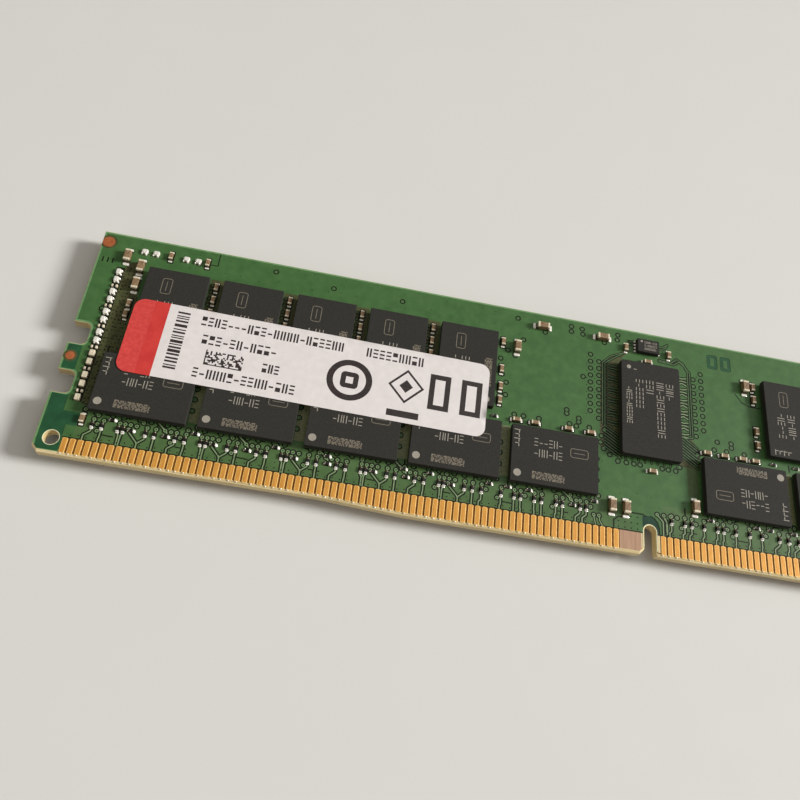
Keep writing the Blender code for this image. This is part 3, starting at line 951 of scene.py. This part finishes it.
def add_package_surround(copper, side):
    """Dense copper between the upright packages, and via rings beside the lying ones."""
    places = sorted((board_place(node)[:2], is_upright(node)) for node in memory_nodes(side))
    upright = sorted(x for (x, _), standing in places if standing)
    lying = sorted(x for (x, _), standing in places if not standing)
    fanout = [(3.75, 7.0), (5.2, 6.8), (6.4, 7.4), (6.4, 22.2), (5.95, 22.8), (5.95, 26.9), (5.1, 27.5),
              (4.3, 27.2), (3.75, 26.6)]
    for area in both_ends(fanout):
        copper.field(area, COPPER, MASK_DENSE)
    for left, right in zip(upright, upright[1:]):
        if right - left < 12:
            copper.field(span(left + 3.8, 15.2, right - 3.8, 26.95), COPPER, MASK_DENSE)
            for step in range(6):
                y = 25.70 - 1.95 * step
                copper.via(left + 4.02, y + 0.35, 0.2, 0.12, MASK_DENSE)
                copper.via(left + 4.02, y - 0.60, 0.2, 0.12, MASK_DENSE)
    for left, right in zip(lying, lying[1:]):
        if right - left < 13:
            # Between lying packages: the board's own colour, tinted olive as painted shade for the shadow
            # there.
            copper.field(span(left + 5.55, 6.95, right - 5.45, 13.7), COPPER, MASK_GAP_OLIVE_SHADE)
        for y in (11.35, 9.95, 8.45):
            copper.quiet_via(left + 5.72, y, 0.24, 0.16)
        copper.cut([(left - 5.6, 14.1), (left - 5.6, 15.0)])
    for x in lying:
        for step in range(7):
            copper.quiet_via(x - 4.6 + 1.55 * step + 0.3 * (step % 2), 6.18)
    chance = random.Random(5)
    for column in range(5):
        for row in range(36):
            x = 3.98 + 0.45 * column + chance.uniform(-0.1, 0.1)
            y = 7.2 + 0.55 * row + chance.uniform(-0.12, 0.12)
            for place in (x, LENGTH - x):
                copper.dot(place, y, chance.choice((0.07, 0.10, 0.13)))


# Bare copper discs as (x, y, radius).
FIDUCIALS = ((0.80, 29.72, 0.77), (0.85, 12.90, 0.54), (LENGTH - 0.80, 29.72, 0.77),
             (LENGTH - 0.85, 12.90, 0.54))


def make_mask(side):
    """The solder mask of one side, with all that shows through it."""
    copper = Copper()
    add_areas(copper)
    add_key_surround(copper)
    add_package_surround(copper, side)
    add_contact_tracks(copper)
    if side == "front":
        add_register_tracks(copper)
        add_config_tracks(copper)
        add_marks(copper)
        for x, y in LONE_VIAS:
            copper.quiet_via(x, y)
    else:
        add_back_vias(copper)
    for x, y, radius in FIDUCIALS:
        copper.cleared.append((circle((x, y), radius + 0.27, 28), BARE, MASK_DENSE))
    # No dots round the register, in the plain marks, at the left end and at the capacitors.
    keep_out = [(64.0, 12.0, 81.0, 31.0), (79.5, 26.5, 85.5, 30.5), (0.0, 0.0, 4.0, 31.0)]
    length, width, _ = SMALL_CAPACITOR
    reach = length / 2 + 0.55
    for x, y, turn in small_capacitor_places(side):
        keep_out.append((x - reach, y - reach, x + reach, y + reach))
        size = (width + 0.30, length + 0.90) if turn else (length + 0.90, width + 0.30)
        copper.clear(rectangle(x, y, *size, 0.15))
    add_stitching(copper, keep_out)
    add_holes(copper)
    shape = Shape()
    shape.relief(copper.regions(), MASK_FOOT)
    shape.make(f"solder_mask_relief_{side}", FACES[side], "solder_mask", f"solder_mask_{side}")


# ---------------------------------------------------------------- bare copper discs

def make_fiducials(side):
    """Bare copper discs that a placement machine aligns to, cut off at the ends of the board."""
    shape = Shape()
    for x, y, radius in FIDUCIALS:
        outline = [(max(RIM, min(LENGTH - RIM, px)), py) for px, py in circle((x, y), radius, 28)]
        shape.plate(outline, BARE + 0.002, COPPER + 0.004, COPPER_METAL)
    shape.make(f"alignment_discs_{side}", FACES[side], "bare_copper")


# ---------------------------------------------------------------- contacts

def make_fingers(side, block, positions):
    """Separate gold fingers, each with a paler band round it as a painted edge highlight, rounded feet and
    a small bright solder dot at the foot of most.
    """
    shape = Shape()
    for index, x in enumerate(positions):
        foot = edge_level(x) + FINGER_FOOT
        top = FINGER_TOP + 0.02
        half = FINGER_WIDTH / 2
        left = (x - half + FINGER_CORNER, foot + FINGER_CORNER)
        right = (x + half - FINGER_CORNER, foot + FINGER_CORNER)
        outline = arc(left, FINGER_CORNER, 180, 270, 4) + arc(right, FINGER_CORNER, 270, 360, 4)
        outline += [(x + half, top - 0.10), (x + half - 0.10, top), (x - half + 0.10, top),
                    (x - half, top - 0.10)]
        # The paler outer band is a painted edge highlight; the plain gold plate lies inside it.
        shape.plate(outline, CORE_SURFACE + 0.010, -0.004, GOLD_EDGE_HIGHLIGHT, top=0.030)
        shape.plate(inset(outline, FINGER_EDGE), CORE_SURFACE + 0.030, -0.001, GOLD, top=0.010)
        if index % 7 not in (3, 5):
            stub = x - 0.12 + 0.05 * (index % 3)
            shape.bead(stub, foot - 0.02, 0.11, 0.09, CORE_SURFACE + 0.01, 0.010, SOLDER, 8)
    shape.make(f"gold_fingers_{side}_{block}", FACES[side], "gold_contact", f"contacts_{side}_{block}")


# ---------------------------------------------------------------- marks on packages

def sign_bars(kind, x, y, width, height, weight):
    """Rectangles of a plain sign that stands for a character: bars or blocks, never a letter."""
    bars = []
    if kind == "rails":
        for sign in (-1, 1):
            bars.append(rectangle(x + sign * (width - weight) / 2, y, weight, height))
    elif kind == "steps":
        for sign in (-1, 0, 1):
            bars.append(rectangle(x, y + sign * (height - weight) / 2, width, weight))
    elif kind == "stack":
        bars.append(rectangle(x, y + height * 0.26, width, height * 0.46))
        bars.append(rectangle(x, y - (height - weight) / 2, width, weight))
    elif kind == "drop":
        bars.append(rectangle(x, y - height * 0.26, width, height * 0.46))
        bars.append(rectangle(x, y + (height - weight) / 2, width, weight))
    elif kind == "dash":
        bars.append(rectangle(x, y - height * 0.1, width * 0.9, weight))
    return bars


INK_SIGNS = ("rails", "steps", "stack", "drop", "rails", "steps", "rails", "dash")
LASER_SIGNS = ("rails", "steps", "rails", "steps", "dash")


def line_of_signs(x0, x1, y, height, weight, seed, signs=INK_SIGNS):
    """Rectangles of a row of plain signs between x0 and x1."""
    chance = random.Random(seed)
    count = max(1, round((x1 - x0) / (height * 0.64)))
    step = (x1 - x0) / count
    bars = []
    for index in range(count):
        kind = chance.choice(signs)
        bars += sign_bars(kind, x0 + step * (index + 0.5), y, step * 0.74, height, weight)
    return bars


def burn_line(shape, x0, x1, y, height, face, seed, weight=MARK_WEIGHT):
    """A row of plain burnt signs."""
    for bar in line_of_signs(x0, x1, y, height, weight, seed, LASER_SIGNS):
        shape.burn(bar, face)


def memory_shape():
    """A ball grid package about its centre, its long side along x."""
    shape = Shape()
    long_side, short_side = PACKAGE
    body = BALL_HEIGHT + SUBSTRATE
    shape.plate(rectangle(0, 0, long_side, short_side, 0.06), BALL_HEIGHT, body, SUBSTRATE_GREEN,
                bottom=0.015)
    shape.plate(rectangle(0, 0, long_side - 0.01, short_side - 0.01, 0.06), body, PACKAGE_TOP, MOULD,
                top=0.05)
    for row in range(13):
        for column in (-3.2, -2.4, -1.6, 1.6, 2.4, 3.2):
            shape.ball(-4.8 + BALL_PITCH * row, column, 0.21, 0.0, BALL_HEIGHT, SOLDER, 8)
    shape.burn(circle((-4.65, -2.65), 0.47, 24), PACKAGE_TOP)
    for y, seed in ((1.75, 3), (0.32, 5)):
        burn_line(shape, -2.75, 0.95, y, 1.02, PACKAGE_TOP, seed)
    burn_patch(shape, -0.8, -2.65, 4.05, 1.0, PACKAGE_TOP)
    for step in range(4):
        shape.burn(rectangle(-4.85, 3.0 - 0.6 * step, 0.75 - 0.25 * (step % 2), MARK_WEIGHT), PACKAGE_TOP)
        shape.burn(rectangle(-4.62, 2.75 - 0.6 * step, MARK_WEIGHT, 0.35), PACKAGE_TOP)
    burn_frame(shape, rectangle(3.05, 1.1, 2.3, 1.25, 0.3, 3), 0.08, PACKAGE_TOP)
    shape.burn(stroke((2.35, 1.1), (3.75, 1.1), 0.08), PACKAGE_TOP, FAINT_LASER)
    return shape


def burn_frame(shape, outline, weight, face):
    """A flat ring: the band between an outline and the same outline moved inwards."""
    low = face - MARK_FOOT
    high = face + MARK_FACE
    inner = inset(outline, weight)
    count = len(outline)
    points = []
    for ring, height in ((outline, low), (outline, high), (inner, high), (inner, low)):
        points += [(x, y, height) for x, y in ring]
    faces = []
    for level in range(4):
        base = level * count
        after = (level + 1) % 4 * count
        for here in range(count):
            there = (here + 1) % count
            faces.append((base + here, base + there, after + there, after + here))
    shape.add(points, faces, FAINT_LASER)


def burn_patch(shape, x, y, width, height, face):
    """A field of fine speckle: short strokes of mixed length, with no meaning."""
    chance = random.Random(11)
    rows = 6
    step = height / rows
    for row in range(rows):
        place = x - width / 2
        while place < x + width / 2 - 0.1:
            length = chance.uniform(0.10, 0.55)
            end = min(place + length, x + width / 2)
            shape.burn(rectangle((place + end) / 2, y - height / 2 + step * (row + 0.5), end - place,
                                 step * chance.uniform(0.55, 0.95)), face, FAINT_LASER)
            place = end + chance.uniform(0.05, 0.22)


def make_memory(side):
    """Eighteen packages that share one mesh."""
    mesh = memory_shape().mesh(f"memory_package_{side}", as_drawn)
    for node in memory_nodes(side):
        x, y, _, _ = board_place(node)
        if is_upright(node):
            turn = 90
        else:
            turn = 0 if x < KEY_X else 180
        over = Matrix.Rotation(math.radians(turn), 4, "Z")
        if side == "back":
            over = Matrix.Rotation(math.pi, 4, "X") @ over
        place = Matrix.Translation(Vector(FACES[side](x, y, 0.0))) @ over
        add_piece(f"memory_package_{node[5:]}", mesh, [node], place)


def make_register():
    """The register package in the middle, with its rows of signs turned along it."""
    x, y, size, _ = board_place("register_chip")
    shape = Shape()
    body = BALL_HEIGHT + SUBSTRATE
    shape.plate(rectangle(x, y, size.x, size.y, 0.35, 4), BALL_HEIGHT, body, SUBSTRATE_GREEN,
                bottom=0.015)
    shape.plate(rectangle(x, y, size.x - 0.02, size.y - 0.02, 0.34, 4), body, PACKAGE_TOP, MOULD,
                top=0.06)
    for row in range(20):
        for column in range(12):
            if min(row, 19 - row, column, 11 - column) < 3:
                shape.ball(x - 3.575 + REGISTER_PITCH * column, y - 6.175 + REGISTER_PITCH * row, 0.17,
                           0.0, BALL_HEIGHT, SOLDER, 6)
    left = x - size.x / 2
    top = y + size.y / 2
    shape.burn(circle((left + 1.05, top - 1.0), 0.28, 20), PACKAGE_TOP)
    shape.burn(rectangle(left + 1.9, top - 1.25, 0.42, MARK_WEIGHT), PACKAGE_TOP)
    for column, start, end, height in ((6.55, 2.6, 5.1, 1.0), (5.25, 2.6, 10.7, 1.0),
                                       (3.85, 2.5, 4.6, 1.0), (2.45, 2.6, 6.9, 1.0),
                                       (1.05, 3.9, 9.3, 0.75)):
        shape.spot(left + column, top, -90)
        burn_line(shape, start, end, 0.0, height, PACKAGE_TOP, int(column * 10))
    shape.make("register_package", on_front, "package_mould", "register_chip")


def make_config():
    """The small chip over the register, with flat leads along both short sides."""
    x, y, size, reach = board_place("configuration_chip")
    shape = Shape()
    face = reach - 0.004
    shape.plate(rectangle(x, y, size.x, size.y, 0.04), 0.06, face, MOULD, top=0.04, bottom=0.02)
    for step in range(4):
        for sign in (-1, 1):
            lead_y = y - 0.75 + 0.5 * step
            shape.plate(rectangle(x + sign * (size.x / 2 + 0.08), lead_y, 0.42, 0.24, 0.05), 0.0, 0.09,
                        SOLDER, top=0.04)
            shape.bead(x + sign * (size.x / 2 + 0.14), lead_y, 0.17, 0.13, 0.05, 0.22, SOLDER, 8)
    shape.burn(circle((x - 0.95, y + 0.6), 0.16, 16), face)
    for row in range(3):
        burn_line(shape, x - 0.6, x + 1.2, y + 0.5 - 0.5 * row, 0.34, face, row, 0.05)
    shape.make("configuration_package", on_front, "package_mould", "configuration_chip")


# ---------------------------------------------------------------- capacitors and resistors

def add_fillet(shape, sign, face, run, rise, width, finish):
    """Solder that climbs the end of a part in a hollow curve."""
    profile = ((0.0, 0.0), (1.0, 0.0), (0.98, 0.07), (0.62, 0.22), (0.34, 0.50), (0.16, 0.86), (0.0, 1.0))
    rings = []
    for across, scale in ((-0.50, 0.62), (-0.40, 0.94), (0.0, 1.0), (0.40, 0.94), (0.50, 0.62)):
        ring = [(sign * (face + u * run * scale), across * width, v * rise * scale) for u, v in profile]
        rings.append(ring)
    shape.loft(rings, finish, True)


def add_capacitor(shape, x, y, turn, length, width, height):
    """A ceramic capacitor: brown body, plated ends, a steep fillet and a bright solder foot."""
    shape.spot(x, y, turn)
    end = 0.18 * length
    lift = 0.04
    body = rectangle(0, 0, length - end, width * 0.96, 0.03)
    shape.plate(body, lift + 0.02, lift + height * 0.965, CERAMIC, top=width * 0.07, bottom=width * 0.07)
    for sign in (-1, 1):
        cap = rectangle(sign * (length - end) / 2, 0, end, width, width * 0.09, 3)
        shape.plate(cap, lift + height * 0.62, lift + height, TIN, top=width * 0.09)
        # The lower part of each end, its pad and its fillet are in solder_in_shade: a painted dark
        # reflection.
        shape.plate(cap, lift, lift + height * 0.62, DARK_SOLDER, bottom=width * 0.06)
        pad = rectangle(sign * length * 0.56, 0, length * 0.46, width * 1.10, width * 0.16, 3)
        shape.plate(pad, -0.012, 0.035, DARK_SOLDER, top=0.02)
        add_fillet(shape, sign, length / 2 - 0.01, length * 0.12, height * 0.45, width * 0.92, DARK_SOLDER)
        foot = rectangle(sign * length * 0.68, 0, length * 0.24, width * 1.06, width * 0.20, 3)
        shape.plate(foot, 0.0, height * 0.16, SOLDER, top=height * 0.10)
    shape.spot(0.0, 0.0)


def add_resistor(shape, x, y, turn, lobe=False):
    """A 0.6 mm chip resistor: black glazed top, plated ends, and solder that is fuller at one end, one end
    painted lit and the other painted in shade.
    """
    shape.spot(x, y, turn)
    shape.plate(rectangle(0, 0, 0.42, 0.34, 0.02), 0.03, 0.25, RESISTOR, top=0.03)
    # One end in bright solder and the other in solder_in_shade: painted light and shade, as from a light on
    # one side.
    for sign, finish, run in ((-1, SOLDER, 0.22), (1, DARK_SOLDER, 0.15)):
        shape.plate(rectangle(sign * 0.245, 0, 0.12, 0.35, 0.04), 0.02, 0.26, finish, top=0.05)
        shape.plate(rectangle(sign * 0.32, 0, 0.30, 0.42, 0.08), -0.012, 0.04, finish, top=0.03)
        add_fillet(shape, sign, 0.28, run, 0.22, 0.38, finish)
    # A small bright dot on the shaded end: a painted glint.
    shape.bead(0.27, -0.10, 0.06, 0.06, 0.20, 0.28, SOLDER, 8)
    if lobe:
        shape.bead(0.36, 0.03, 0.11, 0.13, 0.0, 0.20, SOLDER, 8)
    shape.spot(0.0, 0.0)


def add_bridge(shape, x, y):
    """A short plated part: two bright lobes with a narrow dark body between them."""
    shape.plate(rectangle(x, y, 0.30, 0.30, 0.02), 0.02, 0.24, RESISTOR, top=0.03)
    for sign in (-1, 1):
        shape.plate(rectangle(x + sign * 0.25, y, 0.30, 0.38, 0.09, 3), -0.012, 0.26, TIN, top=0.09)


def add_block(shape, x, y, hooked, turn=0.0):
    """A solder-covered pad: a rounded pale block, with two lobes on one side if hooked."""
    shape.spot(x, y, turn)
    # A dark pad of solder_in_shade round the block: painted shade at its foot.
    shape.plate(rectangle(0, 0, 0.76, 0.90, 0.16, 3), -0.012, 0.03, DARK_SOLDER, top=0.02)
    if hooked:
        outline = rectangle(-0.05, 0.03, 0.62, 0.78, 0.20, 4)
        shape.plate(outline, 0.0, 0.36, SOLDER, top=0.13)
        shape.bead(0.27, 0.18, 0.20, 0.16, 0.0, 0.36, SOLDER)
        shape.bead(0.24, -0.33, 0.16, 0.13, 0.0, 0.28, SOLDER)
        shape.bead(-0.18, -0.36, 0.12, 0.10, 0.0, 0.24, SOLDER)
    else:
        shape.plate(rectangle(0, 0, 0.64, 0.80, 0.10, 3), 0.0, 0.38, TIN, top=0.09)
    shape.spot(0.0, 0.0)


# Length, width and height of a small capacitor.
SMALL_CAPACITOR = (1.00, 0.50, 0.50)


def small_capacitor_places(side):
    """Small capacitors as (x, y, turn)."""
    places = []
    columns = sorted(board_place(node)[0] for node in memory_nodes(side) if is_upright(node))
    for left, right in zip(columns, columns[1:]):
        if right - left < 12:
            for step in range(6):
                places.append(((left + right) / 2 - 0.05, 25.70 - 1.95 * step, 90))
    for y in (25.6, 21.5, 18.95, 17.0):
        places.append((52.65, y, 90))
    for y in (25.6, 23.7, 19.0, 17.0):
        places.append((87.17, y, 90))
    for x in (54.97, 57.35, 61.66, 64.6, 80.05, 82.4, 84.85, 86.6, 96.9, 99.5, 109.2, 111.8, 121.6, 124.2):
        places.append((x, 14.66, 0))
    for y in (21.1, 19.6):
        places.append((5.55, y, 90))
        places.append((LENGTH - 5.55, y, 90))
    for x in (8.80, 13.45, LENGTH - 8.80, LENGTH - 13.45):
        places.append((x, 29.1, 90))
    places += [(4.48, 5.15, 90), (LENGTH - 4.48, 5.15, 90)]
    if side == "back":
        for x in (68.2, 70.9, 73.6, 76.3):
            places += [(x, 22.4, 0), (x, 19.6, 0), (x, 16.8, 0)]
        places += [(56.6, 26.4, 90), (58.4, 26.4, 90), (82.2, 24.0, 90)]
    return places


def make_small_capacitors(side):
    """The small capacitors beside the packages and along the board."""
    shape = Shape()
    for x, y, turn in small_capacitor_places(side):
        add_capacitor(shape, x, y, turn, *SMALL_CAPACITOR)
    shape.make(f"small_capacitors_{side}", FACES[side], "capacitor_ceramic")


def make_resistors(side):
    """The row over the contacts, and the pairs between it and the lower packages."""
    shape = Shape()
    upright, flat = row_places()
    for x in upright:
        add_resistor(shape, x, ROW_Y, 90)
    for x in flat:
        add_resistor(shape, x, ROW_Y + 0.05, 180, True)
    for x in PAIRS:
        add_resistor(shape, x, PAIR_Y, 180, True)
    for x in (89.2, 92.3, 52.2, LENGTH - 12.4):
        add_resistor(shape, x, 14.7, 180, True)
    shape.make(f"small_resistors_{side}", FACES[side], "package_mould")


def make_end_columns(side):
    """Columns of short plated parts beside the latch notches, in threes: two blocks and a resistor."""
    shape = Shape()
    for group in range(7):
        top = 25.44 - 2.96 * group
        for x, turn in ((3.22, 0), (LENGTH - 3.22, 180)):
            add_block(shape, x, top, group < 4, turn)
            if group < 6:
                add_block(shape, x, top - 1.16, group < 4, turn)
                add_bridge(shape, x, top - 2.09)
    for x in (5.5, 6.95, 10.75, 12.25):
        for place in (x, LENGTH - x):
            add_block(shape, place, 29.1, True, -90)
    shape.make(f"end_columns_{side}", FACES[side], "solder")


def make_large_capacitors():
    """The fourteen capacitors that have a CAD node each."""
    for number in range(1, 15):
        node = f"capacitor_{number:02d}"
        x, y, size, _ = board_place(node)
        turn = 90 if is_upright(node) else 0
        shape = Shape()
        add_capacitor(shape, x, y, turn, max(size.x, size.y), min(size.x, size.y), size.z)
        shape.make(f"dressed_{node}", on_front, "capacitor_ceramic", node)


# ---------------------------------------------------------------- label

LABEL_SIZE = (44.35, 10.15)
LABEL_TILT = -0.72


def line_code(chance):
    """A ladder of bars with no meaning."""
    bars = []
    y = 1.4
    while y < 9.2:
        bar = chance.choice((0.16, 0.26, 0.40))
        bars.append((span(5.25, y, 6.75, y + bar), BLACK_INK))
        y += bar + chance.choice((0.14, 0.20, 0.28))
    return bars


def block_code(chance):
    """A field of small squares with no meaning, with a line along its foot and its left side."""
    squares = [(span(9.70, 2.80, 14.25, 2.95), BLACK_INK), (span(9.70, 2.80, 9.85, 4.85), BLACK_INK)]
    side = 0.2
    for row in range(9):
        for column in range(22):
            if chance.random() < 0.5:
                x = 9.85 + side * column
                y = 2.95 + side * row
                squares.append((span(x, y, x + side, y + side), BLACK_INK))
    return squares


def label_print():
    """Everything printed on the label, about its left lower corner."""
    height = LABEL_SIZE[1]
    regions = [(span(-0.5, -0.5, 4.14, height + 0.5), RED_INK),
               (span(2.35, -0.5, 4.14, height + 0.5), SMOOTH_RED_INK)]
    chance = random.Random(23)
    regions += line_code(chance)
    for x0, x1, line_y, tall, seed in (
        (8.15, 25.84, 8.68, 1.26, 1),
        (28.55, 35.95, 8.68, 1.26, 2),
        (8.75, 17.95, 6.17, 1.26, 3),
        (16.50, 18.70, 3.80, 1.20, 4),
        (8.65, 21.00, 1.58, 1.26, 6),
    ):
        regions += [(bar, BLACK_INK) for bar in line_of_signs(x0, x1, line_y, tall, 0.22, seed)]
    regions += block_code(chance)
    middle = (27.13, 4.37)
    regions += [(circle(middle, 2.80, 40), BLACK_INK), (circle(middle, 2.02, 40), PAPER),
                (rectangle(*middle, 2.2, 2.2, 0.5, 4), BLACK_INK), (rectangle(*middle, 0.9, 0.9), PAPER)]
    x, y = (34.1, 4.95)
    for half_x, half_y, ink in ((2.25, 2.35, BLACK_INK), (1.87, 1.95, PAPER), (0.85, 0.90, BLACK_INK)):
        diamond = [(x, y - half_y), (x + half_x, y), (x, y + half_y), (x - half_x, y)]
        regions.append((diamond, ink))
    regions.append((span(32.10, 0.66, 36.05, 1.54), BLACK_INK))
    for x in (38.27, 42.27):
        regions += [(rectangle(x, 4.92, 2.62, 4.90), BLACK_INK), (rectangle(x, 4.92, 1.26, 3.54), PAPER)]
    return regions


def make_label():
    """A paper label that dips a little where nothing is under it."""
    low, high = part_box("label")
    centre = ((low + high) / 2 - CORE_LOW) / MM
    top = (high.z - FRONT_FACE) / MM - 0.004
    width, height = LABEL_SIZE
    outline = rectangle(width / 2, height / 2, width, height, 1.3, 8)
    regions = [(outline, top, PAPER)]
    for column in range(int(width)):
        for row in range(int(height)):
            regions.append((span(0.3 + column, 0.1 + row, 1.3 + column, 1.1 + row), top, PAPER))
    regions += [(shape, top, ink) for shape, ink in label_print()]
    gap_x = [(board_place(f"dram_front_{n:02d}")[0] + board_place(f"dram_front_{n + 1:02d}")[0]) / 2
             for n in range(10, 14)]

    def sag(x, y):
        """How far the label lies over its level at a place on it."""
        board_x = centre.x - width / 2 + x
        board_y = centre.y - height / 2 + y
        between_rows = math.exp(-((board_y - 14.4) / 0.7) ** 2)
        between_columns = sum(math.exp(-((board_x - gap) / 0.8) ** 2) for gap in gap_x)
        upper = 1.0 if board_y > 15.2 else 0.0
        wave = 0.004 * math.sin(0.9 * x + 0.3) * math.sin(1.7 * y)
        return -0.030 * between_rows - 0.022 * between_columns * upper + wave - 0.004

    shape = Shape()
    shape.relief(regions, top - 0.06, sag)
    for index, (x, y, h) in enumerate(shape.points):
        x, y = turned([(x, y)], (width / 2, height / 2), LABEL_TILT)[0]
        shape.points[index] = (centre.x - width / 2 + x, centre.y - height / 2 + y, h)
    shape.make("printed_label", on_front, "label_paper", "label")


# ---------------------------------------------------------------- the module

def make_module():
    """All pieces of both sides, and then those that only the front has."""
    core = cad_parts["pcb_core"]
    for slot in core.material_slots:
        slot.material = LAMINATE
    for side in ("front", "back"):
        make_mask(side)
        make_fiducials(side)
        make_fingers(side, "left", LEFT_FINGERS)
        make_fingers(side, "right", RIGHT_FINGERS)
        make_memory(side)
        make_small_capacitors(side)
        make_resistors(side)
        make_end_columns(side)
    make_register()
    make_config()
    make_large_capacitors()
    make_label()


# ---------------------------------------------------------------- floor, light and camera

def make_floor():
    """A wide plain floor, a hair under the lowest packages."""
    mesh = bpy.data.meshes.new("floor")
    half = 5.0
    level = -0.00002
    corners = [(-half, -half, level), (half, -half, level), (half, half, level), (-half, half, level)]
    mesh.from_pydata(corners, [], [(0, 1, 2, 3)])
    mesh.materials.append(make_material("pale_floor", (209, 209, 206), (210, 210, 207), (0.7, 0.8),
                                        grain=60.0))
    floor = add_object("floor", mesh)


def add_light(kind, name, place, power, spread, colour=(1.0, 1.0, 1.0)):
    """A soft light facing the module from a place in millimetres.

    An area light is square and spread is its side in millimetres.  A sun lights the whole
    floor evenly, and spread is how many degrees of the sky it covers.
    """
    data = bpy.data.lights.new(name, kind)
    if kind == "SUN":
        data.angle = math.radians(spread)
    else:
        data.size = spread * MM
    data.energy = power
    data.color = colour
    lamp = add_object(name, data)
    lamp.location = Vector(place) * MM
    lamp.rotation_euler = (-Vector(place)).to_track_quat("-Z", "Y").to_euler()


def make_lights():
    """A key light from the right, two weak ones, and a sky that the camera sees as pale."""
    add_light("SUN", "key", (760, 85, 422), 4.05, 16.0, (1.0, 0.985, 0.96))
    add_light("AREA", "fill", (-220, -260, 330), 0.34, 380, (1.0, 0.94, 0.84))
    add_light("AREA", "over", (110, 40, 220), 0.15, 260)
    world = bpy.data.worlds.new("studio")
    world.use_nodes = True
    background = world.node_tree.nodes["Background"]
    background.inputs["Color"].default_value = (1.0, 0.93, 0.82, 1.0)
    path = world.node_tree.nodes.new("ShaderNodeLightPath")
    strength = world.node_tree.nodes.new("ShaderNodeMapRange")
    strength.inputs["To Min"].default_value = 0.20
    strength.inputs["To Max"].default_value = 0.62
    world.node_tree.links.new(path.outputs["Is Camera Ray"], strength.inputs["Value"])
    world.node_tree.links.new(strength.outputs["Result"], background.inputs["Strength"])
    bpy.context.scene.world = world


def make_camera():
    """Looks down on the left end and the contact edge."""
    data = bpy.data.cameras.new("camera")
    data.lens = 36.154
    data.sensor_width = 36.0
    data.shift_y = 0.0125
    data.clip_start = 0.002
    data.clip_end = 10.0
    camera = add_object("camera", data)
    camera.location = Vector((-35.381, -46.416, 90.015)) * MM
    camera.rotation_euler = [math.radians(angle) for angle in (25.763, -9.143, 6.588)]
    bpy.context.scene.camera = camera


bpy.context.scene.view_settings.view_transform = "Standard"
make_camera()
make_module()
make_floor()
make_lights()
